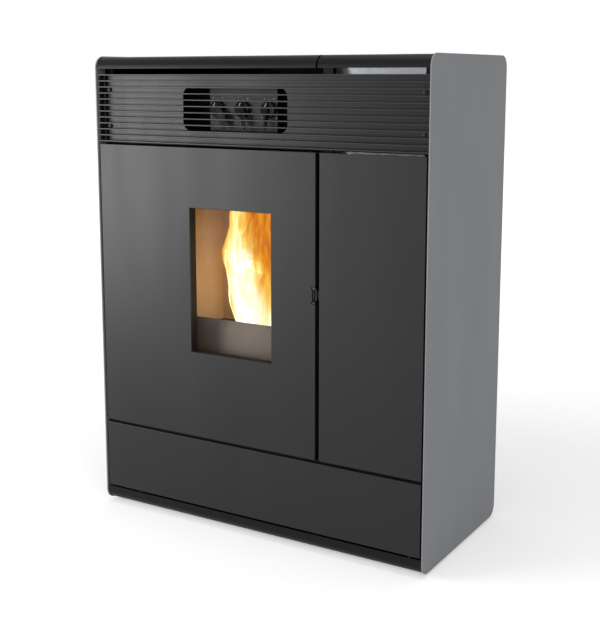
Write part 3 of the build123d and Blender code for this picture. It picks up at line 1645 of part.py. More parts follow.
def blower_motor():
    """Motor at the right end of the blower."""
    x0 = blower_x + blower_length / 2 + blower_end_gap + blower_wall
    x1 = x0 + blower_motor_length
    body = rod_x(x0 + motor_gap, x1, blower_y, blower_z, blower_motor_radius)
    half = blower_motor_foot / 2
    body += block(x0 + motor_gap, x1, blower_y - half, blower_y + half, frame_bottom, blower_z)
    bore_x = x0 + blower_shaft_reach + blower_shaft_end_gap
    return body - rod_x(x0 - 1, bore_x, blower_y, blower_z, blower_shaft_radius + blower_shaft_gap)


# ================================================================ rear panel and power
def back_panel():
    """Rear sheet with vents and holes for the flue, the air pipe and the power inlet."""
    x1 = frame_x - frame_sheet
    y0, y1 = frame_back, frame_back + frame_sheet
    panel = block(-x1, x1, y0, y1, frame_bottom, frame_top - lid_knuckle_radius * 2)
    y0, y1 = y0 - through, y1 + through
    panel -= rod_y(fan_x, y0, y1, flue_z, flue_radius - flue_wall)
    panel -= rod_y(air_inlet_x, y0, y1, igniter_z, air_pipe_radius + panel_hole_gap)
    panel -= plate_xz(socket_width, socket_height, socket_corner, power_x, power_z, y0, y1)
    width, height = rocker_width + 2 * socket_wall, rocker_height + 2 * socket_wall
    panel -= plate_xz(width, height, rocker_corner, power_x, rocker_z, y0, y1)
    vent_round = vent_height / 2 - round_margin
    for row in range(vent_rows):
        for column in range(vent_columns):
            x = (column - (vent_columns - 1) / 2) * vent_pitch_x
            z = vent_z + row * vent_pitch_z
            panel -= plate_xz(vent_length, vent_height, vent_round, x, z, y0, y1)
    for x, z in rear_screw_places():
        panel -= rod_y(x, y0, y1, z, rear_screw_shank + screw_hole_gap)
    return panel


def rear_screw_places():
    x = frame_x - frame_flange / 2
    low, high = frame_bottom + rear_screw_first, frame_top - rear_screw_last
    for side in (-1, 1):
        for i in range(rear_screw_rows):
            yield side * x, low + i * (high - low) / (rear_screw_rows - 1)


def rear_screws():
    """Pan-head screws round the back panel."""
    y0 = frame_back + frame_sheet
    screws = []
    for x, z in rear_screw_places():
        head = rod_y(x, y0, y0 + rear_screw_head, z, rear_screw_radius)
        screws.append(head + rod_y(x, y0 - rear_screw_length, y0, z, rear_screw_shank))
    return screws


def power_socket():
    """Mains inlet with a rim, a cavity that opens to the rear and three contact blades."""
    x, z = power_x, power_z
    y0, y1 = panel_rear - socket_depth, panel_rear
    fit = inlet_seat_gap
    body = plate_xz(socket_width - fit, socket_height - fit, socket_corner, x, z, y0, y1)
    rim = socket_width + 2 * socket_rim, socket_height + 2 * socket_rim
    body += plate_xz(*rim, socket_corner + socket_rim / 3, x, z, y1, y1 + socket_rim_sheet)
    inner_width = socket_width - 2 * socket_wall
    inner_height = socket_height - 2 * socket_wall - 2 * socket_lug
    body -= plate_xz(inner_width, inner_height, socket_corner, x, z, y0 + socket_floor, y1 + through)
    for dx, dz in ((0, contact_pitch), (0, -contact_pitch), (contact_offset, 0)):
        x0, x1 = x + dx - contact_sheet / 2, x + dx + contact_sheet / 2
        z0, z1 = z + dz - contact_height / 2, z + dz + contact_height / 2
        body += block(x0, x1, y0 + socket_floor / 2, y1 - contact_setback, z0, z1)
    return body


def rocker_frame():
    """Frame of the mains switch in the back panel."""
    x, z, y1 = power_x, rocker_z, panel_rear
    width, height = rocker_width + 2 * socket_wall, rocker_height + 2 * socket_wall
    fit = inlet_seat_gap
    body = plate_xz(width - fit, height - fit, rocker_corner, x, z, y1 - rocker_depth, y1)
    rim = width + 2 * rocker_rim, height + 2 * rocker_rim
    body += plate_xz(*rim, rocker_corner * 1.5, x, z, y1, y1 + rocker_rim_sheet)
    half_w, half_h = rocker_width / 2, rocker_height / 2
    floor = y1 - rocker_depth + socket_wall
    body -= block(x - half_w, x + half_w, floor, y1 + through, z - half_h, z + half_h)
    reach = half_w + rocker_pin_reach + rocker_pin_end_gap
    return body - rod_x(x - reach, x + reach, y1 - rocker_axis_depth, z, rocker_pin + rocker_pin_gap)


def rocker():
    """Rocker of the mains switch on its cross pin, level between its two positions."""
    x, z = power_x, rocker_z
    axis_y = panel_rear - rocker_axis_depth
    crest = panel_rear + rocker_proud
    half_w = rocker_width / 2 - rocker_gap
    half_h = rocker_height / 2 - rocker_end_gap
    body = block(x - half_w, x + half_w, axis_y - 2 * rocker_pin, crest, z - half_h, z + half_h)
    reach = rocker_width / 2 + rocker_pin_reach
    body += rod_x(x - reach, x + reach, axis_y, z, rocker_pin)
    dish_y = crest - rocker_dish + rocker_dish_radius
    return body - Pos(x, dish_y, z) * Rot(0, 90, 0) * Cylinder(rocker_dish_radius, rocker_width)


def control_board():
    """Main circuit board on stand-offs from the right bulkhead."""
    wall = frame_x - frame_sheet
    x1 = wall - control_standoff
    x0 = x1 - board_sheet
    y0, z0 = control_y, control_z
    y1, z1 = y0 + control_width, z0 + control_height
    board = block(x0, x1, y0, y1, z0, z1)
    for y in (y0 + board_post_inset, y1 - board_post_inset):
        for z in (z0 + board_post_inset, z1 - board_post_inset):
            board += rod_x(x1, wall, y, z, board_post_radius)
    for height, y, length_y, z, length_z in (transformer, relay_block, terminal_block):
        y, z = y0 + y, z0 + z
        board += block(x0 - height, x0, y, y + length_y, z, z + length_z)
    for i in range(capacitor_count):
        y = y0 + capacitor_y + i * capacitor_pitch
        board += rod_x(x0 - capacitor_height, x0, y, z1 - capacitor_drop, capacitor_radius)
    return board


# ================================================================ write the pieces
def main():
    os.makedirs("parts", exist_ok=True)
    save("left_side_panel", side_panel(-1))
    save("right_side_panel", side_panel(1))
    save("top_cover", top_cover())
    save("hopper_lid", hopper_lid())
    save("lid_rear_strip", lid_rear_strip(), *lid_hinge_pins())
    save("lid_gasket", lid_gasket())
    save("base_tray", base_tray())
    feet = [levelling_foot(x, y) for x, y in foot_places()]
    save("levelling_feet", *feet, *[foot_nut(x, y) for x, y in foot_places()])
    save("side_bulkheads", outer_bulkhead(-1), outer_bulkhead(1))
    save("centre_bulkhead", centre_bulkhead())
    save(
        "cross_rails",
        cross_rail(rail_low_z, frame_y - rail_depth),
        cross_rail(rail_top_z, frame_y + frame_sheet),
    )
    save("louvre_grille", *grille_blades(), grille_end_plate(-1), grille_end_plate(1))
    save("case_screws", *grille_screws(), *rear_screws())
    save("grille_backing_plate", *grille_backing_plate())
    save("console_housing", *console_housing())
    save("console_face", console_face())
    for name, x in zip(("left_knob", "middle_knob", "right_knob"), knob_places()):
        save(name, control_knob(x))
    save("circuit_boards", console_board(), control_board())
    save("door_skin", door_skin())
    save("door_frame", door_frame())
    save("door_latch", door_latch())
    save("door_seals", door_rope(), glass_gasket())
    save("door_glass", door_glass())
    save("glass_clips", *glass_clips(), *clip_screws())
    brackets = [hinge_bracket(z) for z in (lower_bracket_z(), upper_bracket_z())]
    save("door_brackets_and_catch", *brackets, door_catch())
    save("door_hinge_pins", *door_hinge_pins())
    save("side_front_panel", side_front_panel())
    save("lower_front_panel", lower_front_panel())
    save("ash_pan", ash_pan())
    save("drawer_runners", drawer_runner(-1), drawer_runner(1))
    save("drawer_rails", drawer_rail(-1), drawer_rail(1))
    save("firebox_front", firebox_front())
    save("firebox_shell", *firebox_shell(), *stand_posts())
    save("ash_chute", ash_chute())
    save("hearth_and_guard", hearth_plate(), ash_guard())
    save("refractory_linings", side_lining(-1), side_lining(1), rear_lining())
    save("flame_baffle", flame_baffle())
    save("exchanger_tubes", *[exchanger_tube(x) for x in tube_places()])
    save("burn_pot", burn_pot())
    save("igniter", igniter())
    save("pellet_hopper", *pellet_hopper())
    save("hopper_grid", *hopper_grid())
    save("auger_tube", auger_tube())
    save("auger_screw", auger_screw())
    save("auger_motor", auger_motor())
    save("pellet_drop", pellet_drop())
    save("smoke_duct", smoke_duct())
    save("exhaust_housing", exhaust_housing())
    save("exhaust_impeller", exhaust_impeller())
    save("exhaust_motor", exhaust_motor())
    save("flue_spigot", flue_spigot())
    save("air_inlet", air_inlet())
    save("blower_housing", blower_housing_body())
    save("blower_impeller", blower_impeller())
    save("blower_motor", blower_motor())
    save("back_panel", back_panel())
    save("power_inlet", power_socket(), rocker_frame())
    save("power_rocker", rocker())


main()
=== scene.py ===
"""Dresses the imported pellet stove: finishes, fire, seals, dials and small hardware."""

import json
import logging
import math
import random
from collections.abc import Callable, Iterable
from dataclasses import dataclass
from enum import Enum

import bpy
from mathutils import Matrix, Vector

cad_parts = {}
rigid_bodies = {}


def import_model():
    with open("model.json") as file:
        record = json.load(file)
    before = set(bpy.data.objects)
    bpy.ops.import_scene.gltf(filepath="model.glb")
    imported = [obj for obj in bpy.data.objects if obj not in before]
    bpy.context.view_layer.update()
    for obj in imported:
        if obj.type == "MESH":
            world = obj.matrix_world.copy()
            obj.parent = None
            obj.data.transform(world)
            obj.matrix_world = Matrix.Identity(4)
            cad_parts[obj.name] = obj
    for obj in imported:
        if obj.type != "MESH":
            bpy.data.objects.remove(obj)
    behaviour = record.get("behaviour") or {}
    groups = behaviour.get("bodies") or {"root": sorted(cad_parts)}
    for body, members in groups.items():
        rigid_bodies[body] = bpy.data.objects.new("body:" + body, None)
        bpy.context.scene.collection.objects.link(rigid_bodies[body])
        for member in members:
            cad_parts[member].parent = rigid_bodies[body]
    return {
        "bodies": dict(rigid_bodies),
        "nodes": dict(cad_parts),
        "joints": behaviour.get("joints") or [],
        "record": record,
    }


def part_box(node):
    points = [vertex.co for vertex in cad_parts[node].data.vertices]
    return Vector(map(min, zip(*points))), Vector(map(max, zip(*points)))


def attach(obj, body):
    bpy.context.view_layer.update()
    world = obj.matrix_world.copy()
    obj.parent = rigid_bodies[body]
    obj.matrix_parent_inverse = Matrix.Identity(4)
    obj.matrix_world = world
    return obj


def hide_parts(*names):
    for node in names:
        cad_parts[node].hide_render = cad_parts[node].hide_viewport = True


log = logging.getLogger("pellet_stove")

Colour = tuple[float, float, float]
Point = tuple[float, float, float]
Span = tuple[float, float]
Socket = bpy.types.NodeSocket
MM = 0.001
ORIGIN: Point = (0.0, 0.0, 0.0)
SQUARE = 0.9  # a face is square to an axis when its normal keeps more than this along it
NOISE_LOW, NOISE_HIGH = 0.3, 0.7  # where most of a noise pattern's values lie


# ---------------------------------------------------------------- node trees
class Recipe:
    """A material's node tree while a finish is mixed."""

    def __init__(self, name: str) -> None:
        """Starts a material with one principled shader and the piece's own coordinates.

        Args:
            name: Name of the material.
        """
        self.material = bpy.data.materials.new(name)
        self.material.use_nodes = True
        self.tree = self.material.node_tree
        self.shader = next(n for n in self.tree.nodes if n.type == "BSDF_PRINCIPLED")
        self.output = next(n for n in self.tree.nodes if n.type == "OUTPUT_MATERIAL")
        self.place = self.node("ShaderNodeTexCoord").outputs["Object"]

    def node(self, kind: str) -> bpy.types.Node:
        """Adds a node of that kind and returns it."""
        return self.tree.nodes.new(kind)

    def link(self, source: Socket, target: Socket) -> None:
        """Joins two sockets."""
        self.tree.links.new(source, target)

    def plug(self, name: str, source: Socket) -> None:
        """Feeds one of the shader's sockets."""
        self.link(source, self.shader.inputs[name])

    def fix(self, **values: float | tuple[float, ...]) -> None:
        """Sets constants on the shader's own sockets, an underscore for each space."""
        for name, value in values.items():
            self.shader.inputs[name.replace("_", " ")].default_value = value

    def stretched(self, scale: Point, turn: Point = (0.0, 0.0, 0.0)) -> Socket:
        """Scales and turns the coordinates.

        Args:
            scale: Scale along X, Y and Z.
            turn: Rotation about X, Y and Z in radians.

        Returns:
            The changed coordinates.
        """
        mapping = self.node("ShaderNodeMapping")
        mapping.inputs["Scale"].default_value = scale
        mapping.inputs["Rotation"].default_value = turn
        self.link(self.place, mapping.inputs["Vector"])
        return mapping.outputs["Vector"]

    def noise(
        self, scale: float, detail: float = 3.0, where: Socket | None = None, warp: float = 0.0
    ) -> Socket:
        """Adds a noise pattern.

        Args:
            scale: Cells to the metre.
            detail: Octaves.
            where: Coordinates, or None for the piece's own.
            warp: Distortion.

        Returns:
            The pattern as a value from 0 to 1.
        """
        noise = self.node("ShaderNodeTexNoise")
        noise.inputs["Scale"].default_value = scale
        noise.inputs["Detail"].default_value = detail
        noise.inputs["Distortion"].default_value = warp
        self.link(where or self.place, noise.inputs["Vector"])
        return noise.outputs["Fac"]

    def cells(self, scale: float, output: str = "Distance", where: Socket | None = None) -> Socket:
        """Adds a cell pattern.

        Args:
            scale: Cells to the metre.
            output: Distance or Color.
            where: Coordinates, or None for the piece's own.

        Returns:
            The chosen output.
        """
        cells = self.node("ShaderNodeTexVoronoi")
        cells.inputs["Scale"].default_value = scale
        self.link(where or self.place, cells.inputs["Vector"])
        return cells.outputs[output]

    def spread(
        self, value: Socket, low: float, high: float, new_low: float, new_high: float
    ) -> Socket:
        """Maps a range of a value to another range, held at both ends.

        Args:
            value: The value.
            low: Start of its range.
            high: End of its range.
            new_low: Result at the start.
            new_high: Result at the end.

        Returns:
            The mapped value.
        """
        node = self.node("ShaderNodeMapRange")
        sockets = ("From Min", "From Max", "To Min", "To Max")
        for socket, number in zip(sockets, (low, high, new_low, new_high)):
            node.inputs[socket].default_value = number
        self.link(value, node.inputs["Value"])
        return node.outputs["Result"]

    def sums(self, operation: str, first: Socket, second: Socket | float) -> Socket:
        """Combines two values with a math node.

        Args:
            operation: Blender's name of the operation.
            first: First value.
            second: Second value, a socket or a number.

        Returns:
            The result.
        """
        node = self.node("ShaderNodeMath")
        node.operation = operation
        self.link(first, node.inputs[0])
        if isinstance(second, float):
            node.inputs[1].default_value = second
        else:
            self.link(second, node.inputs[1])
        return node.outputs[0]

    def blend(self, share: Socket, first: Colour | Socket, second: Colour | Socket) -> Socket:
        """Mixes two colours.

        Args:
            share: Share of the second colour.
            first: First colour.
            second: Second colour.

        Returns:
            The mixed colour.
        """
        node = self.node("ShaderNodeMix")
        node.data_type = "RGBA"
        self.link(share, node.inputs["Factor"])
        for socket, colour in zip((node.inputs[6], node.inputs[7]), (first, second)):
            if isinstance(colour, tuple):
                socket.default_value = (*colour, 1.0)
            else:
                self.link(colour, socket)
        return node.outputs[2]

    def ramp(self, value: Socket, stops: Iterable[tuple[float, Colour]]) -> Socket:
        """Turns a value into a colour by a scale of stops.

        Args:
            value: The value.
            stops: Position and colour of each stop.

        Returns:
            The colour.
        """
        node = self.node("ShaderNodeValToRGB")
        bar = node.color_ramp.elements
        stops = list(stops)
        while len(bar) < len(stops):
            bar.new(0.5)
        for element, (position, colour) in zip(bar, stops):
            element.position = position
            element.color = (*colour, 1.0)
        self.link(value, node.inputs["Fac"])
        return node.outputs["Color"]

    def axis(self, name: str) -> Socket:
        """Returns one of the piece's own coordinates, X, Y or Z, in metres."""
        split = self.node("ShaderNodeSeparateXYZ")
        self.link(self.place, split.inputs["Vector"])
        return split.outputs[name]

    def bump(self, height: Socket, depth: float) -> None:
        """Raises the surface by a pattern.

        Args:
            height: The pattern.
            depth: Height of the pattern in metres.
        """
        node = self.node("ShaderNodeBump")
        node.inputs["Distance"].default_value = depth
        self.link(height, node.inputs["Height"])
        earlier = self.shader.inputs["Normal"].links
        if earlier:
            self.link(earlier[0].from_socket, node.inputs["Normal"])
        self.plug("Normal", node.outputs["Normal"])

    def varied(self, value: Socket, low: float, high: float) -> None:
        """Lets the roughness follow a pattern between two values."""
        self.plug("Roughness", self.spread(value, NOISE_LOW, NOISE_HIGH, low, high))

    def tinted(self, value: Socket, colour: Colour, tones: Span) -> None:
        """Lets the base colour follow a pattern between two shades of one colour.

        Args:
            value: The pattern.
            colour: The colour.
            tones: Its factors where the pattern is 0 and where it is 1.
        """
        self.plug("Base Color", self.blend(value, shade(colour, tones[0]), shade(colour, tones[1])))


def shade(colour: Colour, factor: float) -> Colour:
    """Returns the colour made darker or lighter by a factor."""
    return tuple(channel * factor for channel in colour)


# ---------------------------------------------------------------- finishes
@dataclass(frozen=True)
class Finish:
    """What a surface is made of, with its numbers as fields and its node tree as a method."""

    def material(self, name: str) -> bpy.types.Material:
        """Starts a material under that name, fills it in and returns it."""
        recipe = Recipe(name)
        self.fill(recipe)
        return recipe.material

    def fill(self, mix: Recipe) -> None:
        """Adds the finish's own nodes to a recipe."""
        raise NotImplementedError


@dataclass(frozen=True)
class PowderCoat(Finish):
    """Baked coat on sheet steel, with a fine orange peel and a trace of handling."""

    colour: Colour
    gloss: float = 0.40
    shine: float = 0.5
    peel: float = 0.00003
    peel_scale: float = 520.0
    cloud_scale: float = 2.6
    wipe_scale: float = 9.0
    tones: Span = (0.92, 1.08)

    def fill(self, mix: Recipe) -> None:
        """Mixes the coat.

        Args:
            mix: The material's node tree.
        """
        cloud = mix.noise(self.cloud_scale, 4.0)
        wiped = mix.noise(self.wipe_scale, 5.0, mix.stretched((1.0, 1.0, 0.25)), 0.6)
        mix.tinted(cloud, self.colour, self.tones)
        mix.varied(wiped, self.gloss - 0.03, self.gloss + 0.05)
        mix.bump(mix.noise(self.peel_scale, 2.0), self.peel)
        mix.fix(Specular_IOR_Level=self.shine)


@dataclass(frozen=True)
class HeatproofPaint(Finish):
    """Matt stove paint, browned and greyed where the fire reaches it."""

    colour: Colour = (0.010, 0.0095, 0.009)
    ash: Colour = (0.055, 0.044, 0.036)
    scorch_low: float = 0.40
    scorch_high: float = 0.85
    ash_share: Span = (0.55, 0.25)
    dust_scale: float = 14.0
    roughness: Span = (0.62, 0.85)
    grain_scale: float = 900.0
    grain: float = 0.00006
    shine: float = 0.2

    def fill(self, mix: Recipe) -> None:
        """Mixes the paint.

        Args:
            mix: The material's node tree.
        """
        dust = mix.noise(self.dust_scale, 8.0, warp=0.8)
        height = mix.spread(mix.axis("Z"), self.scorch_low, self.scorch_high, *self.ash_share)
        share = mix.sums("MULTIPLY", mix.spread(dust, 0.45, 0.72, 0.0, 1.0), height)
        mix.plug("Base Color", mix.blend(share, self.colour, self.ash))
        mix.varied(dust, *self.roughness)
        mix.bump(mix.noise(self.grain_scale, 3.0), self.grain)
        mix.fix(Specular_IOR_Level=self.shine)


@dataclass(frozen=True)
class GalvanisedSheet(Finish):
    """Zinc-coated sheet with its spangle and faint rolling lines."""

    colour: Colour = (0.48, 0.50, 0.52)
    spangle: float = 85.0
    tones: Span = (0.80, 1.12)
    roughness: Span = (0.30, 0.50)
    line_scale: float = 60.0
    line_depth: float = 0.00002

    def fill(self, mix: Recipe) -> None:
        """Mixes the sheet.

        Args:
            mix: The material's node tree.
        """
        where = mix.stretched((1.0, 1.0, 0.7))
        grain = mix.node("ShaderNodeRGBToBW")
        mix.link(mix.cells(self.spangle, "Color", where), grain.inputs["Color"])
        flake = grain.outputs["Val"]
        mix.tinted(flake, self.colour, self.tones)
        mix.varied(flake, *self.roughness)
        lines = mix.noise(self.line_scale, 4.0, mix.stretched((1.0, 1.0, 24.0)))
        mix.bump(lines, self.line_depth)
        mix.fix(Metallic=1.0)


@dataclass(frozen=True)
class BrightMetal(Finish):
    """Plated, turned or die-cast metal with fine tool marks and a little tarnish."""

    colour: Colour
    gloss: float = 0.28
    mark_scale: float = 700.0
    cast: float = 0.00002
    tarnish_scale: float = 35.0
    tones: Span = (0.78, 1.1)

    def fill(self, mix: Recipe) -> None:
        """Mixes the metal.

        Args:
            mix: The material's node tree.
        """
        tarnish = mix.noise(self.tarnish_scale, 6.0, warp=0.5)
        mix.tinted(tarnish, self.colour, self.tones)
        tool = mix.noise(self.mark_scale, 3.0)
        mix.varied(tool, self.gloss, self.gloss + 0.16)
        mix.bump(tool, self.cast)
        mix.fix(Metallic=1.0)


@dataclass(frozen=True)
class CastIron(Finish):
    """Raw casting with a sandy skin, grey ash in the hollows and a brown bloom."""

    colour: Colour = (0.054, 0.043, 0.036)
    ash: Colour = (0.110, 0.080, 0.062)
    bloom_scale: float = 16.0
    ash_share: Span = (0.15, 0.75)
    roughness: Span = (0.55, 0.8)
    sand_scale: float = 420.0
    sand: float = 0.00012
    lump_scale: float = 140.0
    lumps: float = 0.00010
    metal: float = 0.25

    def fill(self, mix: Recipe) -> None:
        """Mixes the casting.

        Args:
            mix: The material's node tree.
        """
        bloom = mix.noise(self.bloom_scale, 7.0, warp=1.2)
        settled = mix.spread(bloom, 0.42, 0.68, *self.ash_share)
        mix.plug("Base Color", mix.blend(settled, self.colour, self.ash))
        mix.varied(bloom, *self.roughness)
        mix.bump(mix.cells(self.sand_scale), self.sand)
        mix.bump(mix.noise(self.lump_scale, 5.0), self.lumps)
        mix.fix(Metallic=self.metal)


@dataclass(frozen=True)
class VermiculiteBoard(Finish):
    """Buff pressed board of flakes, sooted towards the top."""

    colour: Colour = (0.53, 0.34, 0.165)
    flake: Colour = (0.62, 0.43, 0.23)
    soot: Colour = (0.12, 0.065, 0.035)
    soot_from: float = 0.60
    soot_to: float = 0.82
    soot_most: float = 0.85
    flake_scale: float = 260.0
    flake_depth: float = 0.0003
    drift_scale: float = 7.0
    roughness: Span = (0.8, 0.95)
    lump_scale: float = 90.0
    lumps: float = 0.0002

    def fill(self, mix: Recipe) -> None:
        """Mixes the board.

        Args:
            mix: The material's node tree.
        """
        flakes = mix.cells(self.flake_scale)
        body = mix.blend(mix.spread(flakes, 0.15, 0.6, 0.0, 1.0), self.flake, self.colour)
        drift = mix.noise(self.drift_scale, 5.0, warp=1.0)
        climb = mix.spread(mix.axis("Z"), self.soot_from, self.soot_to, 0.0, self.soot_most)
        share = mix.sums("MULTIPLY", mix.spread(drift, 0.30, 0.65, 0.25, 1.0), climb)
        mix.plug("Base Color", mix.blend(share, body, self.soot))
        mix.varied(drift, *self.roughness)
        mix.bump(flakes, self.flake_depth)
        mix.bump(mix.noise(self.lump_scale, 6.0), self.lumps)


@dataclass(frozen=True)
class CeramicGlass(Finish):
    """Clear stove glass with a breath of amber and light wiping marks.

    Its index of refraction is kept low, so that the white studio isn't mirrored over the fire.
    """

    tint: Colour = (0.97, 0.955, 0.93)
    tones: Span = (1.0, 0.985)
    wipe_scale: float = 30.0
    roughness: Span = (0.0, 0.03)
    index: float = 1.07

    def fill(self, mix: Recipe) -> None:
        """Mixes the glass.

        Args:
            mix: The material's node tree.
        """
        wiped = mix.noise(self.wipe_scale, 5.0, mix.stretched((1.0, 1.0, 0.3)), 1.5)
        mix.tinted(wiped, self.tint, self.tones)
        mix.varied(wiped, *self.roughness)
        mix.fix(Transmission_Weight=1.0, IOR=self.index)
        path = mix.node("ShaderNodeLightPath")
        clear = mix.node("ShaderNodeBsdfTransparent")
        join = mix.node("ShaderNodeMixShader")
        mix.link(path.outputs["Is Shadow Ray"], join.inputs["Fac"])
        mix.link(mix.shader.outputs["BSDF"], join.inputs[1])
        mix.link(clear.outputs["BSDF"], join.inputs[2])
        mix.link(join.outputs["Shader"], mix.output.inputs["Surface"])


@dataclass(frozen=True)
class MouldedPlastic(Finish):
    """Moulded plastic with a spark-eroded texture."""

    colour: Colour
    gloss: float = 0.45
    shine: float = 0.5
    texture: float = 0.00004
    texture_scale: float = 1100.0
    handling_scale: float = 45.0
    tones: Span = (0.9, 1.15)

    def fill(self, mix: Recipe) -> None:
        """Mixes the plastic.

        Args:
            mix: The material's node tree.
        """
        handled = mix.noise(self.handling_scale, 5.0)
        mix.tinted(handled, self.colour, self.tones)
        mix.varied(handled, self.gloss - 0.05, self.gloss + 0.06)
        mix.bump(mix.cells(self.texture_scale), self.texture)
        mix.fix(Specular_IOR_Level=self.shine)


@dataclass(frozen=True)
class SoftRubber(Finish):
    """Foam or solid rubber with fine pores and a dusty bloom."""

    colour: Colour = (0.028, 0.028, 0.030)
    pore_scale: float = 1300.0
    pore: float = 0.0002
    bloom_scale: float = 50.0
    tones: Span = (0.8, 1.7)
    roughness: Span = (0.75, 0.92)

    def fill(self, mix: Recipe) -> None:
        """Mixes the rubber.

        Args:
            mix: The material's node tree.
        """
        bloom = mix.noise(self.bloom_scale, 6.0)
        mix.tinted(bloom, self.colour, self.tones)
        mix.varied(bloom, *self.roughness)
        mix.bump(mix.cells(self.pore_scale), self.pore)


@dataclass(frozen=True)
class GlassFibre(Finish):
    """Dark glass-fibre yarn, fuzzy and a little frayed."""

    colour: Colour = (0.095, 0.092, 0.088)
    yarn_scale: float = 900.0
    yarn_turn: Point = (0.6, 0.4, 0.7)
    yarn_depth: float = 0.0003
    wear_scale: float = 40.0
    tones: Span = (0.7, 1.9)
    roughness: Span = (0.8, 0.95)

    def fill(self, mix: Recipe) -> None:
        """Mixes the fibre.

        Args:
            mix: The material's node tree.
        """
        yarn = mix.noise(self.yarn_scale, 4.0, mix.stretched((1.0, 1.0, 1.0), self.yarn_turn))
        worn = mix.noise(self.wear_scale, 5.0)
        mix.tinted(worn, self.colour, self.tones)
        mix.varied(yarn, *self.roughness)
        mix.bump(yarn, self.yarn_depth)
        mix.fix(Sheen_Weight=0.25, Sheen_Roughness=0.5)


@dataclass(frozen=True)
class BoardLaminate(Finish):
    """Green lacquered circuit laminate with copper tracks under the lacquer."""

    colour: Colour = (0.018, 0.12, 0.05)
    track: Colour = (0.05, 0.23, 0.09)
    track_scale: float = 70.0
    track_width: float = 0.09
    track_depth: float = 0.00004
    turn: Point = (1.5708, 0.0, 1.5708)
    roughness: Span = (0.22, 0.4)

    def fill(self, mix: Recipe) -> None:
        """Mixes the laminate.

        Args:
            mix: The material's node tree.
        """
        tracks = mix.node("ShaderNodeTexBrick")
        tracks.inputs["Scale"].default_value = self.track_scale
        tracks.inputs["Mortar Size"].default_value = self.track_width
        for socket, value in (("Color1", 0.0), ("Color2", 0.25), ("Mortar", 1.0)):
            tracks.inputs[socket].default_value = (value, value, value, 1.0)
        mix.link(mix.stretched((1.0, 1.0, 1.0), self.turn), tracks.inputs["Vector"])
        line = mix.node("ShaderNodeRGBToBW")
        mix.link(tracks.outputs["Color"], line.inputs["Color"])
        mix.plug("Base Color", mix.blend(line.outputs["Val"], self.colour, self.track))
        mix.varied(mix.noise(60.0), *self.roughness)
        mix.bump(line.outputs["Val"], self.track_depth)


@dataclass(frozen=True)
class PrintedInk(Finish):
    """Screen-printed or filled marking, slightly uneven."""

    colour: Colour = (0.80, 0.80, 0.78)
    tones: Span = (0.82, 1.0)
    patch_scale: float = 1500.0
    roughness: Span = (0.45, 0.6)
    depth: float = 0.00002

    def fill(self, mix: Recipe) -> None:
        """Mixes the ink.

        Args:
            mix: The material's node tree.
        """
        patchy = mix.noise(self.patch_scale)
        mix.tinted(patchy, self.colour, self.tones)
        mix.varied(patchy, *self.roughness)
        mix.bump(patchy, self.depth)


@dataclass(frozen=True)
class WoodPellet(Finish):
    """Pressed wood pellet, glowing orange through a skin of ash."""

    ash: Colour = (0.42, 0.34, 0.27)
    char: Colour = (0.05, 0.025, 0.015)
    glow: Colour = (1.0, 0.30, 0.045)
    dim: float = 0.15
    heat: float = 6.0
    patch_scale: float = 120.0
    grain_scale: float = 700.0
    grain: float = 0.0002

    def fill(self, mix: Recipe) -> None:
        """Mixes the glowing pellet.

        Args:
            mix: The material's node tree.
        """
        patch = mix.noise(self.patch_scale, 5.0, warp=1.0)
        mix.plug("Base Color", mix.ramp(patch, ((0.35, self.char), (0.62, self.ash))))
        embers = ((0.40, self.glow), (0.60, shade(self.glow, self.dim)))
        mix.plug("Emission Color", mix.ramp(patch, embers))
        mix.fix(Emission_Strength=self.heat, Roughness=0.9)
        mix.bump(mix.noise(self.grain_scale, 4.0), self.grain)


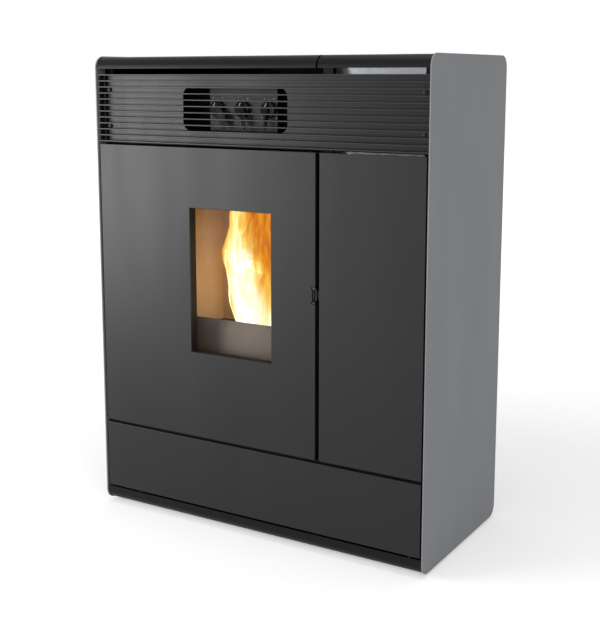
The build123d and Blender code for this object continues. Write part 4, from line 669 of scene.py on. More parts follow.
@dataclass(frozen=True)
class FlameGlow(Finish):
    """A flame's light: white in its leaning heart, yellow round it, orange and red at its tips.

    The colour follows the distance from a line that leans to the left as it rises, with licks of
    noise. The heart's numbers are in metres, and heart_x is how far left of the middle it stands.
    """

    thickness: float
    cooler: float = 0.0
    seed: float = 0.0
    foot: float = 0.46
    heart_x: float = 0.073
    heart_half: float = 0.062
    fade: float = 0.125
    lean: float = 0.21
    narrowing: float = 0.34
    lick_scale: float = 30.0
    lick_stretch: float = 0.20
    lick: float = 0.26
    strength: Span = (1.7, 1.0)
    colours: tuple[tuple[float, Colour], ...] = (
        (0.0, (1.0, 0.97, 0.86)),
        (0.25, (1.0, 0.86, 0.38)),
        (0.45, (1.0, 0.62, 0.09)),
        (0.72, (0.90, 0.33, 0.025)),
        (1.0, (0.42, 0.055, 0.008)),
    )

    def fill(self, mix: Recipe) -> None:
        """Mixes the light.

        Args:
            mix: The material's node tree.
        """
        mapping = mix.node("ShaderNodeMapping")
        mapping.inputs["Location"].default_value = (self.seed, self.seed * 0.7, 0.0)
        mapping.inputs["Scale"].default_value = (1.0, 1.0, self.lick_stretch)
        mix.link(mix.place, mapping.inputs["Vector"])
        licks = mix.noise(self.lick_scale, 4.0, mapping.outputs["Vector"], 1.1)
        rise = mix.sums("SUBTRACT", mix.axis("Z"), self.foot)
        offset = mix.sums("ADD", mix.axis("X"), mix.sums("MULTIPLY", rise, self.lean))
        aside = mix.sums("ABSOLUTE", mix.sums("ADD", offset, self.heart_x), 0.0)
        away = mix.sums("ADD", aside, mix.sums("MULTIPLY", rise, self.narrowing))
        edge = self.heart_half + self.fade
        cooled = mix.spread(away, self.heart_half, edge, self.cooler, self.cooler + 1.0)
        flicker = mix.spread(licks, NOISE_LOW, NOISE_HIGH, -self.lick, self.lick)
        cooled = mix.sums("ADD", cooled, flicker)
        glow = mix.node("ShaderNodeEmission")
        mix.link(mix.ramp(cooled, self.colours), glow.inputs["Color"])
        mix.link(mix.spread(cooled, 0.05, 0.45, *self.strength), glow.inputs["Strength"])
        clear = mix.node("ShaderNodeBsdfTransparent")
        join = mix.node("ShaderNodeMixShader")
        mix.link(mix.spread(cooled, 0.85, 1.3, self.thickness, 0.0), join.inputs["Fac"])
        mix.link(clear.outputs["BSDF"], join.inputs[1])
        mix.link(glow.outputs["Emission"], join.inputs[2])
        mix.link(join.outputs["Shader"], mix.output.inputs["Surface"])
        mix.tree.nodes.remove(mix.shader)


@dataclass(frozen=True)
class StudioPaper(Finish):
    """Plain pale paper that keeps the object's shadow and runs out to white."""

    colour: Colour = (0.86, 0.86, 0.86)
    tones: Span = (1.0, 0.985)
    tooth_scale: float = 220.0
    near: float = 0.9
    far: float = 3.2
    lift_near: float = 0.40
    lift_far: float = 0.85

    def fill(self, mix: Recipe) -> None:
        """Mixes the paper.

        Args:
            mix: The material's node tree.
        """
        mix.tinted(mix.noise(self.tooth_scale, 4.0), self.colour, self.tones)
        mix.fix(Roughness=0.95, Specular_IOR_Level=0.1, Emission_Color=(1.0, 1.0, 1.0, 1.0))
        path = mix.node("ShaderNodeLightPath")
        seen = mix.sums("MAXIMUM", path.outputs["Is Camera Ray"], path.outputs["Is Glossy Ray"])
        seen = mix.sums("MAXIMUM", seen, path.outputs["Is Transmission Ray"])
        away = mix.node("ShaderNodeVectorMath")
        away.operation = "LENGTH"
        mix.link(mix.place, away.inputs[0])
        lift = mix.spread(away.outputs["Value"], self.near, self.far, self.lift_near, self.lift_far)
        mix.plug("Emission Strength", mix.sums("MULTIPLY", seen, lift))


class Coat(Enum):
    """The stove's finishes, by their names in the record where it has one."""

    SIDE = "side_paint"
    BLACK = "black_paint"
    GRILLE = "grille_paint"
    FRONT = "front_enamel"
    HEATPROOF = "heatproof_black"
    GALVANISED = "galvanised_steel"
    ZINC = "zinc_hardware"
    SCREW = "screw_black"
    IRON = "cast_iron"
    BOARD = "refractory"
    GLASS = "glass"
    ROPE = "sealing_rope"
    RUBBER = "lid_rubber"
    PLASTIC = "black_plastic"
    CONSOLE = "grey_plastic"
    CIRCUIT = "circuit_board"
    ALUMINIUM = "motor_aluminium"
    INK = "marking_ink"
    PELLET = "glowing_pellet"
    FLAME_OUTER = "flame_outer"
    FLAME_BODY = "flame_body"
    FLAME_CORE = "flame_core"
    PAPER = "studio_paper"


FINISHES: dict[Coat, Finish] = {
    Coat.SIDE: PowderCoat((0.215, 0.220, 0.233), gloss=0.52, shine=0.4),
    Coat.BLACK: PowderCoat((0.008, 0.008, 0.009), gloss=0.36, shine=0.10),
    Coat.GRILLE: PowderCoat((0.016, 0.016, 0.018), gloss=0.34, shine=0.26),
    Coat.FRONT: PowderCoat((0.014, 0.014, 0.0155), gloss=0.33, shine=0.22, peel=0.00001),
    Coat.HEATPROOF: HeatproofPaint(),
    Coat.GALVANISED: GalvanisedSheet(),
    Coat.ZINC: BrightMetal((0.58, 0.575, 0.56)),
    Coat.SCREW: BrightMetal((0.05, 0.05, 0.052), gloss=0.35, mark_scale=1500.0),
    Coat.IRON: CastIron(),
    Coat.BOARD: VermiculiteBoard(),
    Coat.GLASS: CeramicGlass(),
    Coat.ROPE: GlassFibre(),
    Coat.RUBBER: SoftRubber(),
    Coat.PLASTIC: MouldedPlastic((0.005, 0.005, 0.0055), shine=0.12),
    Coat.CONSOLE: MouldedPlastic((0.034, 0.035, 0.037), gloss=0.5, shine=0.3),
    Coat.CIRCUIT: BoardLaminate(),
    Coat.ALUMINIUM: BrightMetal((0.55, 0.56, 0.57), gloss=0.38, mark_scale=400.0, cast=0.00008),
    Coat.INK: PrintedInk(),
    Coat.PELLET: WoodPellet(),
    Coat.FLAME_OUTER: FlameGlow(0.55, 0.30),
    Coat.FLAME_BODY: FlameGlow(1.0, 0.0, 3.1),
    Coat.FLAME_CORE: FlameGlow(0.85, -0.20, 7.7),
    Coat.PAPER: StudioPaper(),
}


class Paintshop:
    """Keeps one mixed material for each finish and puts it on pieces."""

    def __init__(self, frame: dict) -> None:
        """Remembers the loaded frame.
        """
        self.nodes = frame["nodes"]
        self.mixed: dict[Coat, bpy.types.Material] = {}

    def material(self, coat: Coat) -> bpy.types.Material:
        """Returns the material of a finish, mixed on first use."""
        if coat not in self.mixed:
            self.mixed[coat] = FINISHES[coat].material(f"stove_{coat.value}")
        return self.mixed[coat]

    def node(self, name: str, coat: Coat) -> None:
        """Gives a carried-over CAD node its finish.

        Args:
            name: The node.
            coat: Its finish.
        """
        slots = self.nodes[name].material_slots
        for slot in slots:
            slot.material = self.material(coat)
        if not slots:
            self.nodes[name].data.materials.append(self.material(coat))


# ---------------------------------------------------------------- the bench
FaceTest = Callable[[Vector, Vector], bool]


class Piece:
    """A mesh on the bench, shaped with Blender's own tools in the stove's frame."""

    def __init__(self, name: str) -> None:
        """Takes the primitive just added, lays its place into its mesh and names it.

        Args:
            name: Name of the piece.
        """
        self.thing = bpy.context.view_layer.objects.active
        self.named(name)
        bpy.ops.object.transform_apply(location=True, rotation=True, scale=True)

    @staticmethod
    def clear() -> None:
        """Deselects everything before an operator runs."""
        for thing in bpy.context.view_layer.objects:
            thing.select_set(False)

    @classmethod
    def block(cls, name: str, low: Point, high: Point) -> "Piece":
        """Starts from a box between two corners.

        Args:
            name: Name of the piece.
            low: Lowest corner.
            high: Highest corner.

        Returns:
            The piece.
        """
        cls.clear()
        middle = [(a + b) / 2 for a, b in zip(low, high)]
        size = [b - a for a, b in zip(low, high)]
        bpy.ops.mesh.primitive_cube_add(size=1.0, location=middle, scale=size)
        return cls(name)

    @classmethod
    def rod(cls, name: str, start: Point, end: Point, radius: float, sides: int = 48) -> "Piece":
        """Starts from a round bar between two points.

        Args:
            name: Name of the piece.
            start: Middle of one end.
            end: Middle of the other end.
            radius: Radius.
            sides: Number of faces round it.

        Returns:
            The piece.
        """
        cls.clear()
        run = Vector(end) - Vector(start)
        bpy.ops.mesh.primitive_cylinder_add(
            vertices=sides,
            radius=radius,
            depth=run.length,
            location=(Vector(start) + Vector(end)) / 2,
            rotation=run.to_track_quat("Z", "Y").to_euler(),
        )
        return cls(name)

    @classmethod
    def ball(
        cls, name: str, middle: Point, radii: Point, segments: int = 32, rings: int = 24
    ) -> "Piece":
        """Starts from a ball of three radii.

        Args:
            name: Name of the piece.
            middle: Its middle.
            radii: Radii along X, Y and Z.
            segments: Faces round it.
            rings: Rows of faces.

        Returns:
            The piece.
        """
        cls.clear()
        bpy.ops.mesh.primitive_uv_sphere_add(
            segments=segments, ring_count=rings, radius=1.0, location=middle, scale=radii
        )
        return cls(name)

    @classmethod
    def lettering(cls, name: str, text: str, size: float, thickness: float) -> "Piece":
        """Starts from raised lettering that lies flat, centred on the origin.

        Args:
            name: Name of the piece.
            text: The characters.
            size: Height of a line.
            thickness: Height above and below the plane.

        Returns:
            The piece.
        """
        cls.clear()
        bpy.ops.object.text_add()
        words = bpy.context.view_layer.objects.active
        words.data.body = text
        words.data.size = size
        words.data.extrude = thickness
        words.data.resolution_u = 3
        words.data.align_x = "CENTER"
        words.data.align_y = "CENTER"
        bpy.ops.object.convert(target="MESH")
        return cls(name)

    def wake(self) -> None:
        """Makes this piece the only selected and the active one."""
        self.clear()
        self.thing.select_set(True)
        bpy.context.view_layer.objects.active = self.thing

    def lay(self) -> "Piece":
        """Lays the piece's place and turn into its mesh."""
        self.wake()
        bpy.ops.object.transform_apply(location=True, rotation=True, scale=True)
        return self

    def edit(self, faces: FaceTest | None = None) -> None:
        """Enters edit mode with the faces that pass the test selected.

        Args:
            faces: Test of a face's middle and normal, or None for all.
        """
        self.lay()
        mesh = self.thing.data
        for kind in (mesh.vertices, mesh.edges, mesh.polygons):
            kind.foreach_set("select", [False] * len(kind))
        for face in mesh.polygons:
            face.select = faces is None or faces(face.center, face.normal)
        bpy.context.tool_settings.mesh_select_mode = (False, False, True)
        bpy.ops.object.mode_set(mode="EDIT")

    def drag(self, near: Point, move: Point, reach: float) -> "Piece":
        """Pulls the vertex nearest a point, and those round it less and less.

        Args:
            near: The point.
            move: How far the vertex goes.
            reach: Radius of what follows it.

        Returns:
            The piece.
        """
        self.edit(lambda middle, normal: False)
        bpy.ops.object.mode_set(mode="OBJECT")
        min(self.thing.data.vertices, key=lambda v: (v.co - Vector(near)).length).select = True
        bpy.context.tool_settings.mesh_select_mode = (True, False, False)
        bpy.ops.object.mode_set(mode="EDIT")
        bpy.ops.transform.translate(
            value=move,
            use_proportional_edit=True,
            proportional_edit_falloff="SMOOTH",
            proportional_size=reach,
        )
        return self.done()

    def slice(self, bottom: float, top: float) -> "Piece":
        """Cuts off what lies below one height or above another and closes the cuts.

        Args:
            bottom: Height of the lower cut.
            top: Height of the upper cut.

        Returns:
            The piece.
        """
        for height, way in ((bottom, -1.0), (top, 1.0)):
            self.edit()
            bpy.ops.mesh.bisect(
                plane_co=(0.0, 0.0, height),
                plane_no=(0.0, 0.0, way),
                use_fill=True,
                clear_outer=True,
            )
            self.done()
        return self

    def done(self) -> "Piece":
        """Leaves edit mode and returns the piece."""
        bpy.ops.object.mode_set(mode="OBJECT")
        return self

    def inset(
        self, faces: FaceTest, width: float, depth: float = 0.0, single: bool = False
    ) -> "Piece":
        """Insets faces, and sinks them where the depth is negative.

        Args:
            faces: Test of a face's middle and normal.
            width: Width of the border.
            depth: Height of the inner faces.
            single: True to treat each face by itself.

        Returns:
            The piece.
        """
        self.edit(faces)
        bpy.ops.mesh.inset(thickness=width, depth=depth, use_individual=single)
        return self.done()

    def pull(self, faces: FaceTest, move: Point) -> "Piece":
        """Extrudes faces along a vector.

        Args:
            faces: Test of a face's middle and normal.
            move: The vector.

        Returns:
            The piece.
        """
        self.edit(faces)
        bpy.ops.mesh.extrude_region_move(TRANSFORM_OT_translate={"value": move})
        return self.done()

    def resize(self, faces: FaceTest, factors: Point) -> "Piece":
        """Scales faces about their middle.

        Args:
            faces: Test of a face's middle and normal.
            factors: Factors along X, Y and Z.

        Returns:
            The piece.
        """
        self.edit(faces)
        chosen = [v.co for v in self.thing.data.vertices if v.select]
        middle = sum(chosen, Vector()) / max(1, len(chosen))
        bpy.ops.transform.resize(value=factors, center_override=middle)
        return self.done()

    def soften(self, width: float, segments: int = 3, angle: float = 30.0) -> "Piece":
        """Bevels every edge sharper than the angle, in degrees."""
        limit = math.radians(angle)
        return self.shape(
            "BEVEL", width=width, segments=segments, limit_method="ANGLE", angle_limit=limit
        )

    def shape(self, kind: str, **settings: object) -> "Piece":
        """Adds a modifier and applies it.

        Args:
            kind: Blender's name of the modifier.
            settings: Its settings.

        Returns:
            The piece.
        """
        self.wake()
        modifier = self.thing.modifiers.new(kind.title(), kind)
        for name, value in settings.items():
            setattr(modifier, name, value)
        bpy.ops.object.modifier_apply(modifier=modifier.name)
        return self

    def ruffled(self, size: float, depth: float, level: float, octaves: int = 2) -> "Piece":
        """Raises lumps of noise on the surface.

        Args:
            size: Size of a lump.
            depth: Height from the lowest to the highest.
            level: Share of the height that lies under the old surface.
            octaves: Octaves of the noise after the first.

        Returns:
            The piece.
        """
        clouds = bpy.data.textures.new(f"{self.thing.name}_lumps", "CLOUDS")
        clouds.noise_scale = size
        clouds.noise_depth = octaves
        return self.shape(
            "DISPLACE", texture=clouds, strength=depth, mid_level=level, texture_coords="LOCAL"
        )

    def screwed(self, rise: float, steps: int, turns: int = 1) -> "Piece":
        """Sweeps the piece's outline up a helix round Z.

        Args:
            rise: Rise of a turn.
            steps: Steps of a turn.
            turns: Number of turns.

        Returns:
            The piece.
        """
        return self.shape(
            "SCREW",
            angle=math.tau,
            screw_offset=rise,
            iterations=turns,
            steps=steps,
            render_steps=steps,
            axis="Z",
        )

    def cut(self, tool: "Piece") -> "Piece":
        """Cuts another piece's shape out of this one and puts that piece away.

        Args:
            tool: The other piece.

        Returns:
            The piece.
        """
        self.shape("BOOLEAN", operation="DIFFERENCE", object=tool.thing, solver="EXACT")
        tool.scrap()
        return self

    def turn(self, angle: float, axis: str, about: Point = ORIGIN) -> "Piece":
        """Turns the piece about a point.

        Args:
            angle: Angle in degrees.
            axis: X, Y or Z.
            about: The point.

        Returns:
            The piece.
        """
        self.wake()
        value = -math.radians(angle)
        bpy.ops.transform.rotate(value=value, orient_axis=axis, center_override=about)
        return self

    def shift(self, move: Point) -> "Piece":
        """Moves the piece by a vector."""
        self.wake()
        bpy.ops.transform.translate(value=move)
        return self

    def copy(self, name: str, move: Point = ORIGIN) -> "Piece":
        """Copies the piece with a mesh of its own.

        Args:
            name: Name of the copy.
            move: Where the copy stands from this one.

        Returns:
            The copy.
        """
        self.wake()
        bpy.ops.object.duplicate(linked=False)
        return Piece(name).shift(move)

    def scrap(self) -> None:
        """Removes a piece that has served as a pattern or a cutter."""
        bpy.data.objects.remove(self.thing, do_unlink=True)

    def join(self, *others: "Piece") -> "Piece":
        """Joins other pieces into this one.

        Args:
            others: The other pieces.

        Returns:
            The piece.
        """
        self.wake()
        for other in others:
            other.thing.select_set(True)
        bpy.ops.object.join()
        return self.lay()

    @staticmethod
    def united(name: str, pieces: list["Piece"]) -> "Piece":
        """Joins a list of pieces into one under that name."""
        return pieces[0].join(*pieces[1:]).named(name)

    def named(self, name: str) -> "Piece":
        """Renames the piece and returns it."""
        self.thing.name = name
        self.thing.data.name = name
        return self

    def tidy(self) -> "Piece":
        """Merges doubles and turns every face outwards."""
        self.edit()
        bpy.ops.mesh.remove_doubles(threshold=1e-6)
        bpy.ops.mesh.select_all(action="SELECT")
        bpy.ops.mesh.normals_make_consistent(inside=False)
        return self.done()

    def smooth(self, angle: float = 35.0) -> "Piece":
        """Shades faces smooth where they meet below the angle, in degrees."""
        self.wake()
        bpy.ops.object.shade_smooth_by_angle(angle=math.radians(angle))
        return self

    def settle(self, shop: Paintshop, coat: Coat, body: str, *nodes: str) -> bpy.types.Object:
        """Paints the piece, hangs it on its body and lets it stand for CAD nodes.

        Args:
            shop: The paintshop.
            coat: Finish.
            body: Body that carries the piece.
            nodes: CAD nodes that it replaces.

        Returns:
            The finished object.
        """
        self.lay()
        self.thing.data.materials.clear()
        self.thing.data.materials.append(shop.material(coat))
        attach(self.thing, body)
        if nodes:
            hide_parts(*nodes)
        log.info("%s: %d faces on %s", self.thing.name, len(self.thing.data.polygons), body)
        return self.thing


def middle_of(node: str) -> Vector:
    """Returns the middle of a CAD node's box."""
    low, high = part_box(node)
    return (low + high) / 2


# ---------------------------------------------------------------- sub-assemblies
@dataclass
class SubAssembly:
    """A group of CAD nodes with their finishes, and the pieces modelled for it."""

    shop: Paintshop

    def coats(self) -> dict[str, Coat]:
        """Returns the finish of each CAD node that the group carries over."""
        return {}

    def build(self) -> None:
        """Models the group's own pieces."""

    def dress(self) -> None:
        """Paints the carried-over CAD nodes."""
        for node, coat in self.coats().items():
            self.shop.node(node, coat)
            log.info("%s: %s", node, coat.value)


@dataclass
class CaseAndChassis(SubAssembly):
    """Side panels, covers, base, bulkheads and rails."""

    def coats(self) -> dict[str, Coat]:
        """Returns the finish of each node of the case."""
        return {
            "left_side_panel": Coat.SIDE,
            "right_side_panel": Coat.SIDE,
            "top_cover": Coat.BLACK,
            "lid_rear_strip": Coat.BLACK,
            "base_tray": Coat.BLACK,
            # Painted shade: the bulkheads and rails are painted black so that the gaps round the
            # door, the grille and the lid show black, as the shade inside the case would.
            "side_bulkheads": Coat.BLACK,
            "centre_bulkhead": Coat.BLACK,
            "cross_rails": Coat.BLACK,
        }


@dataclass
class CrossScrew:
    """A pan-head screw with a cross recess, modelled once at the origin and copied.

    The radius and the height are in metres, and the rest are shares of them.
    """

    radius: float
    height: float
    rim: float = 0.22
    crown: float = 0.12
    recess: float = 0.62
    blade: float = 0.17
    taper: Point = (0.35, 1.0, 0.6)

    def model(self, name: str) -> Piece:
        """Models the head with its face towards -Y and its seat at y = 0.

        Args:
            name: Name of the piece.

        Returns:
            The head.
        """
        r, h = self.radius, self.height
        head = Piece.rod(name, ORIGIN, (0.0, -h, 0.0), r, 28)
        head.inset(lambda m, n: n.y < -SQUARE, r * self.rim)
        head.pull(lambda m, n: n.y < -SQUARE and m.xz.length < r * 0.5, (0.0, -h * self.crown, 0.0))
        head.soften(h * self.rim, 3, 40.0)
        reach, width, depth = r * self.recess, r * self.blade, h * self.recess
        cross = Piece.block("recess", (-reach, -h * 1.2, -width), (reach, -h + depth, width))
        cross.resize(lambda m, n: n.y > SQUARE, self.taper)
        upright = cross.copy("recess_upright").turn(90.0, "Y")
        head.cut(cross)
        head.cut(upright)
        return head.tidy().smooth(40.0)


@dataclass
class Grille(SubAssembly):
    """Louvre blades, their backing plate, and the screws of the grille and the back panel."""

    screw_x: float = 421.5 * MM
    screw_rows: tuple[int, int] = (3, 9)
    screw_radius: float = 4.4 * MM
    screw_height: float = 2.4 * MM
    first_top: float = 1087.0 * MM
    pitch: float = 14.4 * MM
    blade: float = 3.0 * MM
    tab_face: float = -187.5 * MM
    rear_radius: float = 4.0 * MM
    rear_height: float = 1.9 * MM
    rear_rows: int = 5
    rear_edge: float = 12.0 * MM
    rear_sheet: float = 2.0 * MM
    rear_lift: float = 30.0 * MM
    rear_top: float = 1086.0 * MM

    def coats(self) -> dict[str, Coat]:
        """Returns the finish of each node of the grille."""
        return {"louvre_grille": Coat.GRILLE, "grille_backing_plate": Coat.GRILLE}

    def build(self) -> None:
        """Models the four grille screws and the ten rear screws as one set."""
        first = CrossScrew(self.screw_radius, self.screw_height).model("grille_screw")
        gap = self.pitch - self.blade
        heads = []
        for side in (-1, 1):
            for row in self.screw_rows:
                z = self.first_top - (row - 1) * self.pitch - self.blade - gap / 2
                at = (side * self.screw_x, self.tab_face, z)
                heads.append(first.copy(f"grille_screw_{len(heads)}", at))
        heads += self.rear_heads()
        first.scrap()
        whole = Piece.united("case_screw_set", heads)
        whole.settle(self.shop, Coat.SCREW, "root", "case_screws")

    def rear_heads(self) -> list[Piece]:
        """Models the screws round the back panel.

        Returns:
            Ten heads.
        """
        low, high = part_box("side_bulkheads")
        x, y = high.x - self.rear_edge, high.y + self.rear_sheet
        bottom, top = low.z + self.rear_lift, self.rear_top
        screw = CrossScrew(self.rear_radius, self.rear_height)
        first = screw.model("rear_screw").turn(180.0, "Z")
        heads = []
        for side in (-1, 1):
            for step in range(self.rear_rows):
                z = bottom + step * (top - bottom) / (self.rear_rows - 1)
                heads.append(first.copy(f"rear_screw_{len(heads)}", (side * x, y, z)))
        first.scrap()
        return heads


@dataclass
class Console(SubAssembly):
    """Recess with three dials behind the grille, their knobs and the circuit boards."""

    pitch: float = 71.0 * MM
    plate_y: float = -147.5 * MM
    knob_radius: float = 19.0 * MM
    knob_sides: int = 96
    flute_every: int = 3
    flute_depth: float = 0.45 * MM
    dish: float = 0.9 * MM
    base_height: float = 7.5 * MM
    bar_width: float = 8.36 * MM
    bar_reach: float = 17.0 * MM
    shaft_radius: float = 3.0 * MM
    pointer_half: float = 0.8 * MM
    pointer_tilt: float = 27.0
    scale_start: float = -135.0
    tick_angle: float = 27.0
    ticks: int = 11
    tick_radius: float = 22.4 * MM
    tick_half: Span = (0.3 * MM, 1.1 * MM)
    number_radius: float = 27.6 * MM
    number_size: float = 5.2 * MM

    def coats(self) -> dict[str, Coat]:
        """Returns the finish of each node of the console."""
        return {
            "console_housing": Coat.PLASTIC,
            "console_face": Coat.CONSOLE,
            "circuit_boards": Coat.CIRCUIT,
        }

    def build(self) -> None:
        """Models the knobs and the printed scales."""
        for side in ("left", "middle", "right"):
            self.knob(side)
        self.scales()

    def knob(self, side: str) -> None:
        """Models one knob: fluted skirt, dished face, finger bar and pointer line.

        Args:
            side: left, middle or right.
        """
        low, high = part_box(f"{side}_knob")
        x, z = (low.x + high.x) / 2, (low.z + high.z) / 2
        face, front = self.plate_y, low.y
        step = face - self.base_height
        centre = Vector((x, 0.0, z))
        skirt = Piece.rod(
            f"{side}_dial_knob", (x, face, z), (x, step, z), self.knob_radius, self.knob_sides
        )
        skirt.inset(lambda m, n: n.y < -SQUARE, 1.6 * MM)
        skirt.inset(lambda m, n: n.y < -SQUARE and abs(m.x - x) < MM, self.dish, -self.dish)
        skirt.inset(lambda m, n: self.is_flute(m, n, centre), 0.12 * MM, -self.flute_depth, True)
        skirt.soften(0.25 * MM, 2, 35.0)
        half, reach = self.bar_width / 2, self.bar_reach
        bar = Piece.block(
            "finger_bar", (x - half, front, z - reach), (x + half, step + 1.2 * MM, z + reach)
        )
        bar.resize(lambda m, n: n.y < -SQUARE, (0.78, 1.0, 0.97))
        bar.soften(1.1 * MM, 4)
        shaft = Piece.rod("knob_shaft", (x, face, z), (x, high.y, z), self.shaft_radius, 32)
        shaft.inset(lambda m, n: n.y > SQUARE, 0.6 * MM)
        skirt.join(bar, shaft)
        skirt.smooth(32.0).settle(self.shop, Coat.PLASTIC, f"knob_{side}", f"{side}_knob")
        self.pointer(side, Vector((x, front, z + reach - 5.4 * MM)))

    def pointer(self, side: str, middle: Vector) -> None:
        """Prints the pointer line on a knob's finger bar.

        Args:
            side: left, middle or right.
            middle: The point that the line is turned about.
        """
        x, y, z = middle
        line = Piece.block(
            f"{side}_knob_pointer",
            (x - self.pointer_half, y - 0.08 * MM, z - 5.6 * MM),
            (x + self.pointer_half, y + 0.3 * MM, z + 4.4 * MM),
        )
        line.soften(0.1 * MM, 2)
        line.turn(self.pointer_tilt, "Y", (x, y, z))
        line.settle(self.shop, Coat.INK, f"knob_{side}")

    def is_flute(self, middle: Vector, normal: Vector, centre: Vector) -> bool:
        """Tells whether a face of the skirt is one of the side faces that are fluted.

        Args:
            middle: The face's middle.
            normal: The face's normal.
            centre: The knob's middle.

        Returns:
            True for one side face in every three.
        """
        if abs(normal.y) > 0.2 or middle.xz == centre.xz:
            return False
        angle = math.atan2(middle.z - centre.z, middle.x - centre.x)
        place = round((angle / math.tau) * self.knob_sides - 0.5)
        return place % self.flute_every == 0

    def scales(self) -> None:
        """Prints eleven ticks and the numbers 0 to 5 round each knob."""
        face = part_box("console_face")[0].y
        middle = middle_of("console_face")
        (width, height), radius = self.tick_half, self.tick_radius
        first = Piece.block(
            "tick",
            (-width, face - 0.12 * MM, radius - height),
            (width, face + 0.1 * MM, radius + height),
        )
        first.soften(0.06 * MM, 1)
        marks = []
        for dial in range(3):
            x = middle.x + (dial - 1) * self.pitch
            for step in range(self.ticks):
                angle = self.scale_start + self.tick_angle * step
                tick = first.copy(f"tick_{dial}_{step}")
                marks.append(tick.turn(angle, "Y").shift((x, 0.0, middle.z)))
                if step % 2 == 0:
                    marks.append(self.number(str(step // 2), angle, x, face, middle.z))
        first.scrap()
        Piece.united("dial_scales", marks).settle(self.shop, Coat.INK, "root")

    def number(self, text: str, angle: float, x: float, face: float, z: float) -> Piece:
        """Prints one number of a scale.

        Args:
            text: The number.
            angle: Its place round the dial in degrees.
            x: Middle of the dial.
            face: Face of the console.
            z: Middle of the dial.

        Returns:
            The number, upright.
        """
        number = Piece.lettering(f"number_{text}", text, self.number_size, 0.1 * MM)
        turn, reach = math.radians(angle), self.number_radius
        at = (x + reach * math.sin(turn), face - 0.02 * MM, z + reach * math.cos(turn))
        return number.turn(90.0, "X").shift(at)


